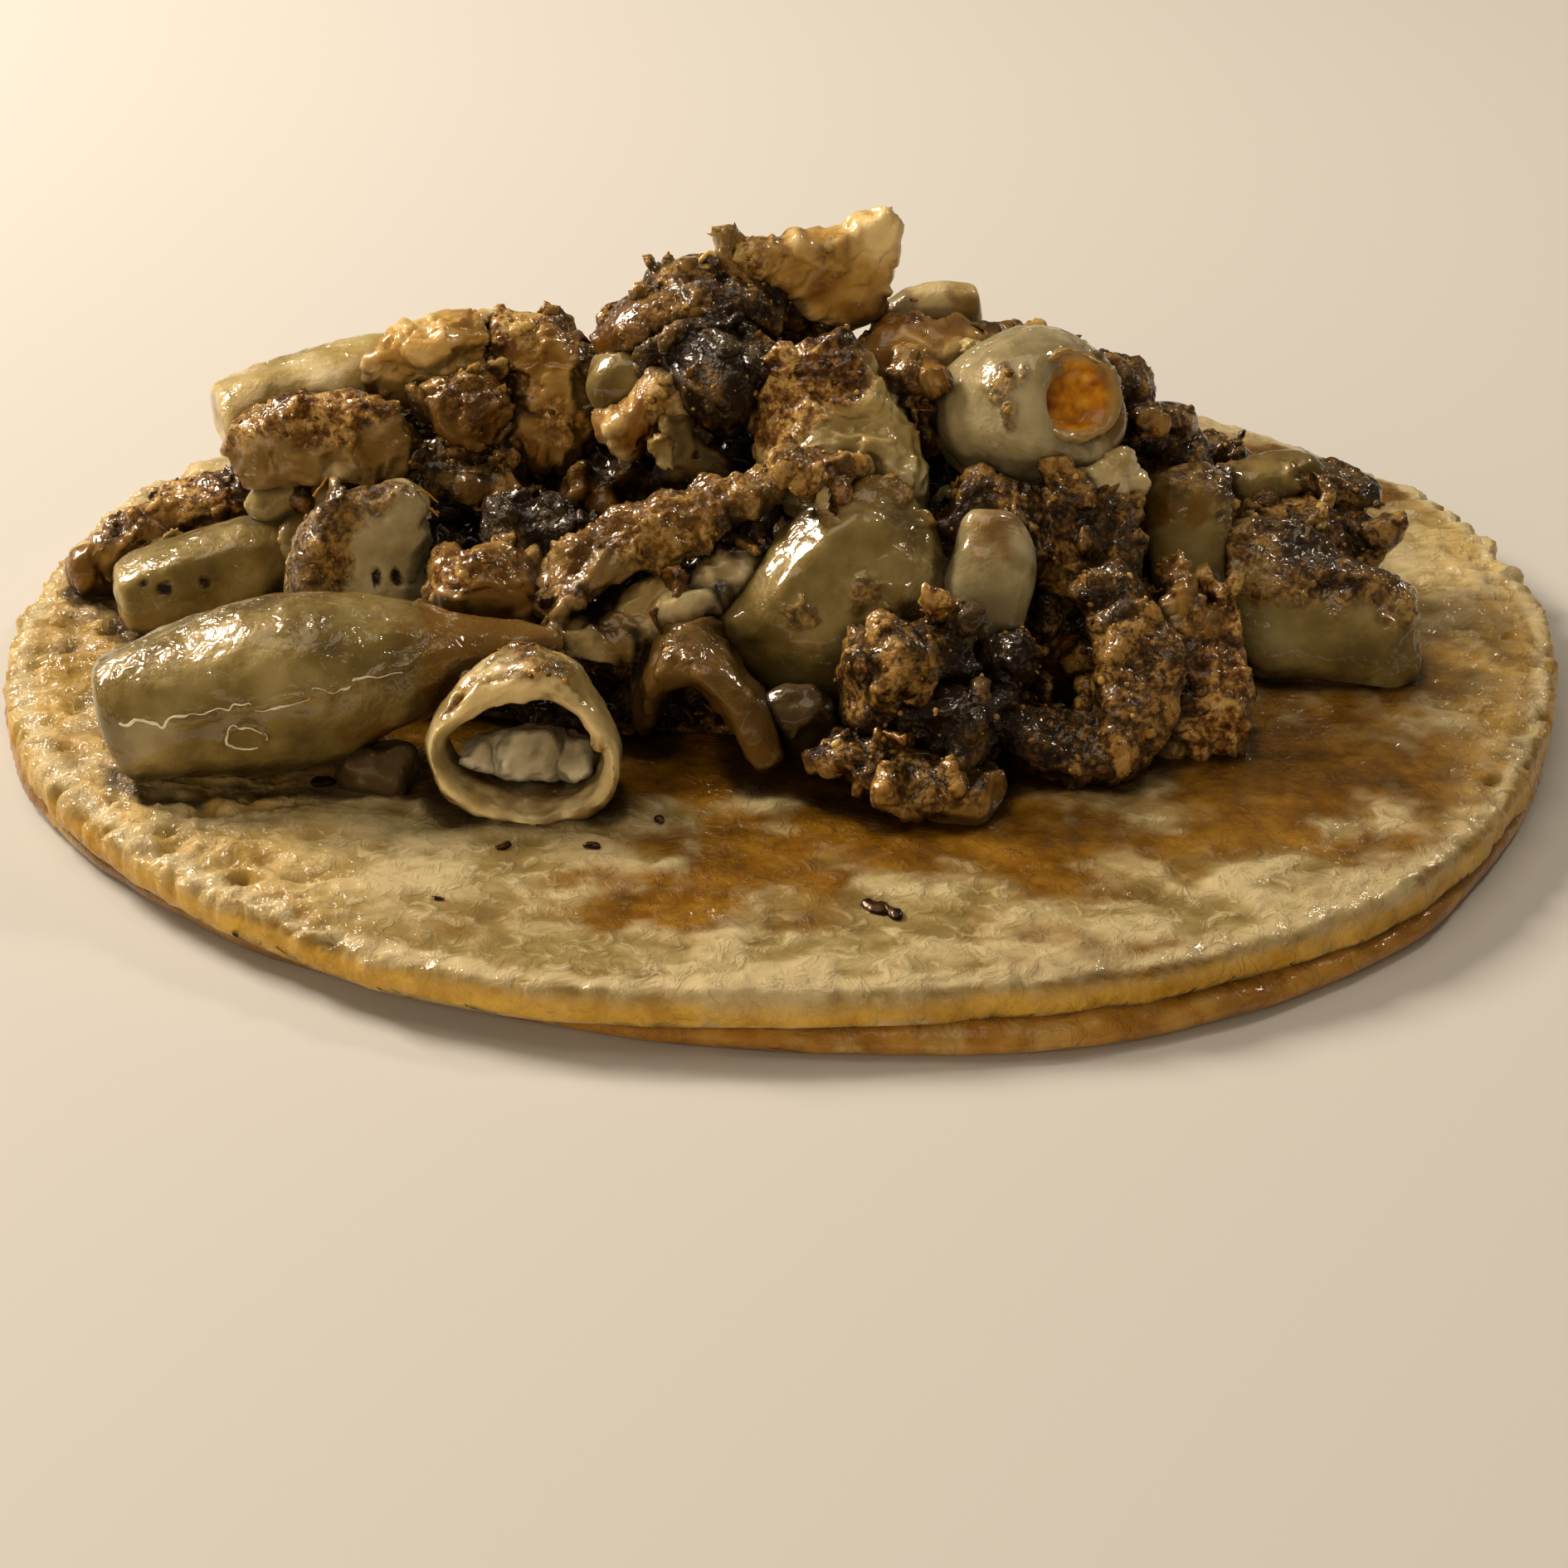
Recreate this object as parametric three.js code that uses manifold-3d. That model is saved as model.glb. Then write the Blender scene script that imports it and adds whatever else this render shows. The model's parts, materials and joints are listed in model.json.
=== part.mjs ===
// Open tripe taco: two stacked corn tortillas with a heap of chopped, griddled beef tripe on top.
// Millimetres, +Z up. The origin is the centre of the lower tortilla's flat underside; +X is to the
// right of a person who faces the front edge, and +Y is to the back.
import * as THREE from "three";
import { mergeVertices } from "three/addons/utils/BufferGeometryUtils.js";
import Module from "manifold-3d";

const wasm = await Module();
wasm.setup();

// ---------------------------------------------------------------- driving sizes
const TORTILLA_RADIUS = 62.5;
const TORTILLA_THICK = 2.5;
const FIT_GAP = 0.3; // clear space between pieces that touch
const UPPER_BASE = TORTILLA_THICK + FIT_GAP; // underside of the upper tortilla
const UPPER_TOP = UPPER_BASE + TORTILLA_THICK; // surface that the filling lies on
const FLAT_RADIUS = 30; // the lower tortilla rests on this much of its underside
const RIM_LIFT = 0.7; // how far the rims curl up at the back and the sides
const CREASE_DEPTH = 0.5; // shallow valley from left to right, where the taco would fold
const TORTILLA_SIDES = 36;
const TORTILLA_RINGS = [0.5, 0.82]; // shares of the radius
const TUBE_WALL = 1.9; // wall of a cut piece of tripe
const FINEST_STEP = 0.12; // relief smaller than this is left out where two pieces meet

const ACROSS_X = [1, 0, 0];
const ACROSS_Y = [0, 1, 0];

const LOOKS = {
  corn_upper: { color: 0xd3b06a, roughness: 0.6 },
  corn_lower: { color: 0xa8742c, roughness: 0.65 },
  tripe_skin: { color: 0x9a8655, roughness: 0.3 },
  tripe_crust: { color: 0x6f4a22, roughness: 0.7 },
  tripe_fat: { color: 0xc9b284, roughness: 0.45 },
  heap_core: { color: 0x2c1a0c, roughness: 0.8 },
};

// ---------------------------------------------------------------- noise and interpolation
function hash(i, j, k, seed) {
  let h = Math.imul(i, 374761393) ^ Math.imul(j, 668265263);
  h ^= Math.imul(k, 1440662683) ^ Math.imul(seed, 1274126177);
  h = Math.imul(h ^ (h >>> 13), 1103515245);
  return ((h ^ (h >>> 16)) >>> 0) / 4294967295;
}

const ease = (t) => t * t * (3 - 2 * t);
const mix = (a, b, t) => a + (b - a) * t;

// Smooth noise between -1 and 1, with one hump or hollow to each unit of length.
function noise(p, seed) {
  const cell = [p.x, p.y, p.z].map(Math.floor);
  const [u, v, w] = [p.x - cell[0], p.y - cell[1], p.z - cell[2]].map(ease);
  const corner = (a, b, c) => hash(cell[0] + a, cell[1] + b, cell[2] + c, seed);
  const edge = (b, c) => mix(corner(0, b, c), corner(1, b, c), u);
  return 2 * mix(mix(edge(0, 0), edge(1, 0), v), mix(edge(0, 1), edge(1, 1), v), w) - 1;
}

// Value of a short list of sizes at t from 0 to 1, with soft turns between them.
function along(sizes, t) {
  if (sizes.length === 1) return sizes[0];
  const place = THREE.MathUtils.clamp(t, 0, 1) * (sizes.length - 1);
  const i = Math.min(Math.floor(place), sizes.length - 2);
  return mix(sizes[i], sizes[i + 1], ease(place - i));
}

// The same round a closed outline.
function around(sizes, turn) {
  const place = (turn - Math.floor(turn)) * sizes.length;
  const i = Math.floor(place) % sizes.length;
  return mix(sizes[i], sizes[(i + 1) % sizes.length], ease(place - Math.floor(place)));
}

// ---------------------------------------------------------------- mesh helpers
const bare = (geometry) => {
  geometry.deleteAttribute("normal");
  geometry.deleteAttribute("uv");
  return mergeVertices(geometry, 1e-4);
};

function reshape(geometry, place) {
  const points = geometry.getAttribute("position");
  const p = new THREE.Vector3();
  for (let i = 0; i < points.count; i++) {
    place(p.fromBufferAttribute(points, i));
    points.setXYZ(i, p.x, p.y, p.z);
  }
  geometry.computeVertexNormals();
  return geometry;
}

// Moves each vertex along its normal by a constant and by noise.
function swell(geometry, constant, amount = 0, grain = 1, seed = 0) {
  const points = geometry.getAttribute("position");
  const normals = geometry.getAttribute("normal");
  const p = new THREE.Vector3();
  const n = new THREE.Vector3();
  for (let i = 0; i < points.count; i++) {
    p.fromBufferAttribute(points, i);
    n.fromBufferAttribute(normals, i);
    const step = constant + (amount ? amount * noise(p.clone().divideScalar(grain), seed) : 0);
    p.addScaledVector(n, step);
    points.setXYZ(i, p.x, p.y, p.z);
  }
  geometry.computeVertexNormals();
  return geometry;
}

function toSolid(geometry) {
  const made = new wasm.Manifold(
    new wasm.Mesh({
      numProp: 3,
      vertProperties: new Float32Array(geometry.getAttribute("position").array),
      triVerts: new Uint32Array(geometry.index.array),
    }),
  );
  if (made.volume() < 0) throw new Error("a shape is inside out");
  return made;
}

// ---------------------------------------------------------------- the shape families
// A frame that carries a section along a curve: `across` is the way its width runs.
function carrier(path, across, closed) {
  const curve = new THREE.CatmullRomCurve3(
    path.map((p) => new THREE.Vector3(...p)),
    closed,
    "centripetal",
  );
  const wish = new THREE.Vector3(...across);
  return (t) => {
    const along = curve.getTangentAt(t);
    const side = wish.clone().addScaledVector(along, -wish.dot(along)).normalize();
    const up = new THREE.Vector3().crossVectors(along, side);
    return { centre: curve.getPointAt(t), side, up };
  };
}

// Turns a point of the unit section into a superellipse; square 1 is round, smaller is boxier.
const boxy = (v, square) => Math.sign(v) * Math.abs(v) ** square;

// A solid strand: a tube, lobe, strip or curl that follows a curve. With `bore` its last end is open,
// with a hollow of that depth, as in a piece cut from a tube.
// The ends are rounded over, or with `crisp` cut off flat.
function strand({
  path, across, wide, high, sides = 8, steps = 6, bore = 0, square = 0.85, twist = [0], crisp = false,
}) {
  const frame = carrier(path, across, false);
  const [endRound, cap] = crisp ? [0.02, 0.9] : [0.05, 0.72];
  const profile = [new THREE.Vector2(0, 0), new THREE.Vector2(cap, 0.004)];
  for (let i = 0; i <= steps; i++) {
    profile.push(new THREE.Vector2(1, mix(endRound, 1 - endRound / 2, i / steps)));
  }
  if (bore) {
    const inner = 1 - (2 * TUBE_WALL) / Math.min(along(wide, 1), along(high, 1));
    profile.push(new THREE.Vector2((1 + inner) / 2, 1));
    profile.push(new THREE.Vector2(inner, 1 - endRound));
    profile.push(new THREE.Vector2(inner * 0.9, 1 - bore));
    profile.push(new THREE.Vector2(0, 1 - bore - 0.03));
  } else {
    profile.push(new THREE.Vector2(cap, 0.996), new THREE.Vector2(0, 1));
  }
  const geometry = bare(new THREE.LatheGeometry(profile, sides));
  return reshape(geometry, (p) => {
    const t = THREE.MathUtils.clamp(p.y, 0, 1);
    const { centre, side, up } = frame(t);
    const reach = Math.hypot(p.x, p.z);
    const angle = Math.atan2(p.z, p.x) + THREE.MathUtils.degToRad(along(twist, t));
    const c = boxy(Math.cos(angle), square) * reach;
    const s = boxy(Math.sin(angle), square) * reach;
    p.copy(centre);
    p.addScaledVector(side, (c * along(wide, t)) / 2).addScaledVector(up, (-s * along(high, t)) / 2);
  });
}

// A closed strand, such as a ring cut from a tube.
function loop({ path, across, wide, high, sides = 8, steps = 16, square = 0.7 }) {
  const frame = carrier(path, across, true);
  const geometry = bare(new THREE.TorusGeometry(2, 1, sides, steps));
  return reshape(geometry, (p) => {
    const turn = Math.atan2(p.y, p.x) / (2 * Math.PI);
    const t = turn - Math.floor(turn);
    const inPlane = Math.hypot(p.x, p.y) - 2;
    const { centre, side, up } = frame(t);
    const c = boxy(p.z, square);
    const s = boxy(inPlane, square);
    p.copy(centre);
    p.addScaledVector(side, (c * around(wide, t)) / 2).addScaledVector(up, (s * around(high, t)) / 2);
  });
}

// A rough lump with its own size and turn.
function lump({ at, size, turn = [0, 0, 0], detail = 2, knobs = 0.16, grain = 0.9, seed = 1, square = 0.9 }) {
  const euler = new THREE.Euler(...turn.map(THREE.MathUtils.degToRad));
  const centre = new THREE.Vector3(...at);
  const geometry = bare(new THREE.IcosahedronGeometry(1, detail));
  return reshape(geometry, (p) => {
    const swollen = 1 + knobs * noise(p.clone().divideScalar(grain), seed) * 2;
    p.set(boxy(p.x, square), boxy(p.y, square), boxy(p.z, square)).multiplyScalar(swollen);
    p.set((p.x * size[0]) / 2, (p.y * size[1]) / 2, (p.z * size[2]) / 2);
    p.applyEuler(euler).add(centre);
  });
}

// A flat piece with an uneven outline, such as a flap or a slice. `outline` holds X and Z round its
// front face, and `foot` is a point of that face. Y grows by `lean` with Z and by `turn` with X.
function plate({ outline, foot, lean, turn = 0, thick, round = 0.8, bulge = 0 }) {
  const rim = outline.map(([x, z]) => new THREE.Vector2(x, z));
  if (THREE.ShapeUtils.isClockWise(rim)) rim.reverse();
  const middle = rim.reduce((sum, p) => sum.add(p), new THREE.Vector2()).divideScalar(rim.length);
  const reach = rim.reduce((sum, p) => sum + p.distanceTo(middle), 0) / rim.length;
  const inset = 1 - round / reach;
  const layers = [[inset, 0], [1, round], [1, thick - round], [inset, thick]];
  if (bulge) {
    layers.unshift([0.55, -bulge]);
    layers.push([0.55, thick + bulge]);
  }
  const away = new THREE.Vector3(-turn, 1, -lean).normalize();
  const points = layers.flatMap(([share, depth]) =>
    rim.flatMap((corner) => {
      const flat = corner.clone().sub(middle).multiplyScalar(share).add(middle);
      const y = foot[1] + lean * (flat.y - foot[2]) + turn * (flat.x - foot[0]);
      return new THREE.Vector3(flat.x, y, flat.y).addScaledVector(away, depth).toArray();
    }),
  );
  const n = rim.length;
  const back = (layers.length - 1) * n;
  const faces = THREE.ShapeUtils.triangulateShape(rim, []);
  const index = faces.flatMap(([a, b, c]) => [a, b, c, back + a, back + c, back + b]);
  for (let layer = 0; layer < layers.length - 1; layer++) {
    for (let i = 0; i < n; i++) {
      const [a, b] = [layer * n + i, layer * n + ((i + 1) % n)];
      index.push(a, a + n, b, b, a + n, b + n);
    }
  }
  const geometry = new THREE.BufferGeometry();
  geometry.setAttribute("position", new THREE.BufferAttribute(new Float32Array(points), 3));
  geometry.setIndex(index);
  geometry.computeVertexNormals();
  return geometry;
}

// Height of a tortilla's middle above flat: lifted rim, a shallow crease from left to right, ripples.
function droop(x, y) {
  const reach = Math.min(Math.hypot(x, y) / TORTILLA_RADIUS, 1.1);
  const flat = FLAT_RADIUS / TORTILLA_RADIUS;
  const rim = Math.max(0, (reach - flat) / (1 - flat)) ** 2;
  const crease = Math.exp(-((y + 8) ** 2) / 90) * CREASE_DEPTH;
  const ripple = 0.4 * noise(new THREE.Vector3(x / 16, y / 16, 0.5), 3);
  const lift = RIM_LIFT * ease(THREE.MathUtils.clamp((y + 45) / 60, 0, 1));
  return rim * Math.max(lift - crease + ripple, 0);
}

// A tortilla: a thin disc with an uneven outline. `outline` is its radius at even turns from +X.
function tortilla({ base, outline }) {
  const profile = [new THREE.Vector2(0, 0)];
  TORTILLA_RINGS.forEach((r) => profile.push(new THREE.Vector2(r, 0)));
  profile.push(new THREE.Vector2(0.992, 0.06), new THREE.Vector2(1, 0.45), new THREE.Vector2(0.985, 0.9));
  [...TORTILLA_RINGS].reverse().forEach((r) => profile.push(new THREE.Vector2(r, 1)));
  profile.push(new THREE.Vector2(0, 1));
  const geometry = bare(new THREE.LatheGeometry(profile, TORTILLA_SIDES));
  return reshape(geometry, (p) => {
    const reach = Math.hypot(p.x, p.z);
    const turn = Math.atan2(-p.z, p.x) / (2 * Math.PI);
    const radius = around(outline, turn) * reach;
    const x = radius * Math.cos(2 * Math.PI * turn);
    const y = radius * Math.sin(2 * Math.PI * turn);
    p.set(x, y, base + p.y * TORTILLA_THICK + droop(x, y));
  });
}

// ---------------------------------------------------------------- the list of pieces
// Each piece gives way to every piece above it in this list, so the ones in full view come first.
const pieces = [];

const SMOOTH = { amount: 0.15, grain: 4 };
const RUFFLED = { amount: 0.35, grain: 2.6 };
const CRAGGY = { amount: 0.55, grain: 2.4 };
const TORN = { amount: 0.25, grain: 2.6 };

function add(name, look, makers, { amount = 0, grain = 3 } = {}) {
  const seed = pieces.length + 1;
  const join = (extra) =>
    [makers]
      .flat()
      .map((make) => toSolid(swell(swell(make(), 0, amount, grain, seed), extra)))
      .reduce((a, b) => a.add(b));
  pieces.push({ name, look, solid: join(0), swollen: join(FIT_GAP + FINEST_STEP).simplify(FINEST_STEP) });
}

const addStrand = (name, look, rough, sizes) => add(name, look, () => strand(sizes), rough);
const addLump = (name, look, rough, sizes) => add(name, look, () => lump(sizes), rough);
const addPlate = (name, look, rough, sizes) => add(name, look, () => plate(sizes), rough);

// --- the two tortillas: radius at sixteen even turns from +X, counterclockwise
const UPPER_OUTLINE = [
  62.8, 63.2, 60.8, 59.4, 60, 61.4, 63.4, 63.5, 63.2, 62.8, 61.4, 61.2, 59.4, 61.2, 63.6, 62.4,
];
const LOWER_OUTLINE = [
  61.8, 61.6, 60, 59, 59.4, 60.6, 62.4, 63.2, 63.8, 63, 60.4, 58.2, 59.8, 63.6, 63.8, 62.5,
];
add("tortilla_upper", "corn_upper", () => tortilla({ base: UPPER_BASE, outline: UPPER_OUTLINE }));
add("tortilla_lower", "corn_lower", () => tortilla({ base: 0, outline: LOWER_OUTLINE }));

// --- front row
const RING_FACE = [-18.8, -32.4, 11]; // middle of the ring's wall line
const RING_LEAN = [0.34, 0.94]; // how the ring's face leans back, as shares of Y and Z
const ringPoint = ([a, b]) => [
  RING_FACE[0] + a,
  RING_FACE[1] + b * RING_LEAN[0],
  RING_FACE[2] + b * RING_LEAN[1],
];
const RING_LINE = [
  [6.5, -1.6], [4.6, 1.8], [1.7, 4.3], [-3.2, 3.1], [-6.5, -0.4], [-4.2, -4.1], [1.2, -5.4], [5.3, -4.2],
];
add("ring_front", "tripe_skin", () => loop({
  path: RING_LINE.map(ringPoint),
  across: ACROSS_Y,
  wide: [6, 6, 6.5, 6.5, 6, 6, 6, 6],
  high: [2.3, 2.8, 4.4, 3.4, 2.2, 2.2, 2.4, 2.4],
}), SMOOTH);
add("ring_crumbs", "tripe_fat", [[-21.4, 8.4, 4.2, 0], [-18, 8.8, 4.8, 1], [-14.9, 8.5, 4.2, 0]].map(
  ([x, z, size, detail], i) => () =>
    lump({ at: [x, -32, z], size: [size, 4.6, size * 0.9], detail, knobs: 0.2, seed: 40 + i }),
));
addStrand("tube_long", "tripe_skin", SMOOTH, {
  path: [
    [-49.6, -27.8, 9.8], [-44, -27.4, 10.9], [-38.5, -27, 12], [-33, -26.6, 12.8],
    [-27.5, -26, 13.6], [-22.6, -25.6, 14.2], [-16.6, -25.2, 14.8],
  ],
  across: ACROSS_Y,
  wide: [8.5, 11.5, 13, 13, 9.4, 5.6, 2],
  high: [8.4, 11, 12.6, 12, 7.8, 4.2, 1.3],
  sides: 12,
  steps: 10,
  crisp: true,
});
addLump("fat_bit", "tripe_fat", {}, {
  at: [-29.4, -30.6, 7], size: [5.4, 4, 4.6], detail: 1, knobs: 0.2, seed: 5,
});
addStrand("arch_front", "tripe_skin", SMOOTH, {
  path: [[-10.8, -20.5, 6.8], [-9.6, -22.5, 11], [-6.6, -24.5, 13.6], [-3.4, -26.8, 10.4], [-0.7, -30, 6.6]],
  across: ACROSS_Y,
  wide: [5, 7, 8.5, 8, 4.5],
  high: [1.8, 2.4, 3.4, 2.8, 1.8],
  steps: 9,
});
addLump("jelly_bit", "tripe_skin", {}, {
  at: [0.8, -27, 8.6], size: [5, 4, 6], turn: [20, 0, 15], detail: 1, seed: 8,
});
addPlate("lobe_centre", "tripe_skin", SMOOTH, {
  outline: [
    [6.9, 24.9], [5.1, 24.5], [2.5, 23.2], [-0.2, 21.4], [-2, 19.2], [-3.8, 16.8], [-4.8, 14.9], [-4.2, 13.4],
    [-2.4, 11.6], [0.6, 10.3], [4, 9.7], [6.6, 10.8], [8.8, 12.6], [11.3, 14.5], [12.4, 17], [12.5, 18.9],
    [11.4, 20.9], [10.1, 23], [8.6, 24.2],
  ],
  foot: [4, -21.5, 17], lean: 0.55, turn: 0.05, thick: 6.6, round: 2.2, bulge: 1.1,
});
addStrand("crust_front_strip", "tripe_crust", CRAGGY, {
  path: [[2.9, -30.4, 9], [7, -31.8, 8.2], [11, -33.2, 7.4], [15.2, -34.4, 6.8]],
  across: ACROSS_Y,
  wide: [4.5, 6, 6.5, 5],
  high: [3, 3.4, 3.6, 2.8],
});
addLump("crust_front_knob", "tripe_crust", CRAGGY, {
  at: [12.4, -31, 10.4], size: [6.4, 5.4, 6.2], knobs: 0.24, seed: 11,
});
addLump("crust_front_chunk", "tripe_crust", CRAGGY, {
  at: [9.4, -27, 12.8], size: [9, 6.4, 9.6], turn: [15, 10, 20], knobs: 0.22, seed: 12,
});
addStrand("curl_dark", "tripe_crust", CRAGGY, {
  path: [
    [18.4, -24.2, 14.2], [16, -25.4, 11.6], [16.8, -27, 8.4], [20.6, -27.4, 6.9],
    [25.2, -26, 8.2], [26.6, -22.8, 12.2], [25.4, -20, 15.6], [23.4, -18.6, 17.4],
  ],
  across: ACROSS_Y,
  wide: [4.5, 6, 8, 8, 8, 7, 6, 4.5],
  high: [3.4, 2.8, 3, 3.8, 5, 6.2, 6, 4],
  steps: 12,
});
addPlate("fin_right", "tripe_crust", TORN, {
  outline: [
    [29.7, 19.1], [28.8, 17.6], [28.2, 16], [28.6, 13.7], [28.6, 9.5], [29.1, 6.2], [30.7, 5.8], [33, 6],
    [34.9, 7], [35, 9], [34.3, 11.3], [33.9, 13.6], [34.8, 16], [34.5, 16.9], [33, 16.6], [31.6, 14.8],
    [30.6, 16], [30.4, 17.9],
  ],
  foot: [32, -22.8, 11], lean: 0.7, thick: 3.6, round: 0.7,
});
addStrand("lobe_small", "tripe_skin", SMOOTH, {
  path: [[15.2, -16.8, 21.2], [15.3, -19.4, 17.6], [14.8, -22, 13]],
  across: ACROSS_X,
  wide: [4, 6.8, 5],
  high: [3.6, 5.4, 4],
});

// --- left side
addPlate("chunk_pitted", "tripe_crust", TORN, {
  outline: [
    [-37.6, 11], [-37.5, 14.1], [-36.9, 17], [-35.7, 19.2], [-34.9, 20.4], [-34.7, 22.3], [-33.6, 21.2],
    [-32.6, 20.8], [-31.1, 21.5], [-28.9, 21.8], [-27.2, 20.4], [-28, 18.8], [-27, 17.4], [-27.8, 15.5],
    [-27.4, 13.4], [-28.4, 10.6], [-33, 10.2],
  ],
  foot: [-32, -14, 16], lean: 0.35, turn: 0.25, thick: 5.6, round: 1.1,
});
addStrand("block_left", "tripe_skin", SMOOTH, {
  path: [[-53.2, -3.6, 8.6], [-48.6, -2.6, 9.3], [-44, -1, 10.4], [-39.6, 1, 11]],
  across: ACROSS_Y,
  wide: [6.5, 7.6, 7.6, 6],
  high: [5.4, 6.4, 6.8, 6],
  square: 0.7,
  crisp: true,
});
add("knob_cluster", "tripe_fat", [
  [[-40.4, 0.6, 16], [6.4, 3.4, 3.4], [0, -35, 0]],
  [[-37.2, 0.4, 15.4], [5, 3.2, 3.4], [0, -25, 0]],
  [[-38, -1.3, 12.6], [6.6, 4.4, 4.8], [0, 0, 0]],
].map(([at, size, turn], i) => () => lump({ at, size, turn, detail: 1, knobs: 0.1, seed: 30 + i })));
addStrand("strip_left", "tripe_crust", CRAGGY, {
  path: [[-58, 2.6, 7.4], [-52.4, 6, 9], [-46.4, 8.8, 10.4], [-40, 10.4, 11.6], [-33.6, 11.4, 12.6]],
  across: ACROSS_Y,
  wide: [5, 6.6, 7.4, 7.6, 7],
  high: [3.6, 6.4, 8, 8.4, 8],
  steps: 8,
});
addStrand("fold_left", "tripe_crust", RUFFLED, {
  path: [[-43.8, 0, 20], [-38.8, -0.6, 21.4], [-33.8, -1, 21.2], [-29.2, -1.4, 19.2]],
  across: ACROSS_Y,
  wide: [4, 5.6, 5.6, 4],
  high: [3.6, 6.8, 7.4, 3],
  twist: [0, -8, -14, -8],
});
addStrand("tube_cut_left", "tripe_skin", SMOOTH, {
  path: [[-28.6, 9.6, 23.4], [-34, 8.8, 22.6], [-40, 7, 21.2], [-45.4, 5, 19.8]],
  across: ACROSS_Y,
  wide: [6, 8.4, 8.6, 8.6],
  high: [5.4, 6.6, 6.8, 6.6],
  bore: 0.3,
  sides: 12,
  crisp: true,
});

// --- top left
addPlate("fold_top_left", "tripe_crust", TORN, {
  outline: [
    [-24.1, 28.8], [-21.6, 29.4], [-18.8, 29.1], [-17.3, 27.8], [-16.3, 26.2], [-14.8, 25.1], [-14, 23.5],
    [-14.3, 21.8], [-15.2, 20.4], [-16.7, 19], [-18.2, 17.6], [-21, 17], [-23.1, 18], [-24.2, 21], [-24.6, 24.9],
  ],
  foot: [-19, 2.6, 23], lean: 0.42, turn: -0.1, thick: 4.6, round: 0.9, bulge: 0.5,
});
addPlate("crust_left_knob", "tripe_crust", TORN, {
  outline: [
    [-28.4, 25.2], [-26.2, 26], [-23.7, 26.6], [-22, 25.2], [-21.8, 23.2], [-23.6, 21.4], [-26.6, 21.2],
    [-28.2, 22.7],
  ],
  foot: [-26, -1.4, 23], lean: 0.35, thick: 4.2, round: 0.8, bulge: 0.3,
});
addLump("crust_left_top", "tripe_crust", CRAGGY, {
  at: [-27.4, 5.4, 25.4], size: [9.2, 7, 6.4], turn: [0, -12, 10], knobs: 0.16, seed: 25,
});
addLump("scrap_left", "tripe_crust", CRAGGY, {
  at: [-25, 0, 17.4], size: [11, 7, 5], turn: [0, 12, 0], detail: 1, knobs: 0.22, seed: 26,
});

// --- top middle
addPlate("peak_flap", "tripe_crust", TORN, {
  outline: [
    [-4.6, 34.4], [-4.2, 35.3], [-1.6, 35.3], [0.9, 36.1], [1.8, 35.6], [4.4, 36], [5.8, 36.6], [7.7, 37.6],
    [8.7, 36.5], [9.1, 34.5], [9, 32.5], [8.1, 31.2], [7.5, 29.2], [6.2, 28.1], [2.6, 29.2], [0.7, 31.4],
    [-1.6, 32.8], [-3.9, 33.5],
  ],
  foot: [3, 4.6, 30], lean: 0.1, turn: 0.22, thick: 2.8, round: 0.6,
});
addStrand("slab_top", "tripe_crust", CRAGGY, {
  path: [[-14.6, 2, 27.4], [-10.4, 3, 29.4], [-6, 3.4, 31.4], [0.6, 2.8, 30.2]],
  across: ACROSS_Y,
  wide: [5, 8, 8, 4.4],
  high: [3.4, 5.4, 5, 2.6],
  steps: 8,
});
addPlate("wedge_centre", "tripe_skin", RUFFLED, {
  outline: [
    [0.8, 31.4], [2.2, 32.2], [3.9, 32.4], [5.4, 31.5], [6.3, 30.1], [8.9, 28.3], [9.9, 26.7], [10.3, 24.5],
    [11, 21.2], [9.6, 19.6], [6.7, 19], [2.5, 19.4], [-1.3, 21.4], [-1.5, 23.6], [-1, 26], [-0.6, 28.5], [-0.1, 30.2],
  ],
  foot: [5, -10.5, 25], lean: 0.55, thick: 5.8, round: 1.6, bulge: 0.9,
});
addLump("crumb_orange", "tripe_crust", {}, {
  at: [2, -15.6, 24.6], size: [5.4, 3.4, 3.2], turn: [0, 8, 0], detail: 1, knobs: 0.24, seed: 28,
});
addLump("char_lump", "tripe_crust", CRAGGY, {
  at: [-5.2, -2.6, 28], size: [9.4, 8, 7.8], turn: [0, -10, 0], knobs: 0.2, seed: 29,
});
addLump("olive_lobe", "tripe_skin", {}, {
  at: [-12.4, 0.2, 25.8], size: [6.6, 5.6, 5.2], knobs: 0.12, seed: 33,
});
addStrand("orange_knob", "tripe_crust", { amount: 0.45, grain: 2 }, {
  path: [[-7.8, -3.6, 26.8], [-10.4, -4, 25], [-13.4, -4.4, 22.6]],
  across: ACROSS_Y,
  wide: [3, 4.6, 4],
  high: [2.6, 4.4, 3.8],
  sides: 8,
  steps: 5,
});
addPlate("grey_flap", "tripe_skin", TORN, {
  outline: [
    [-9.3, 26], [-7, 25.7], [-6.1, 23.9], [-4.2, 22.7], [-3.5, 21.4], [-4.7, 18.8], [-7.3, 18], [-9.4, 18.8],
    [-9.9, 21.4], [-8.6, 22.8], [-7.9, 24],
  ],
  foot: [-6.8, -7.4, 22.5], lean: 0.35, thick: 2.6, round: 0.6,
});

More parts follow.
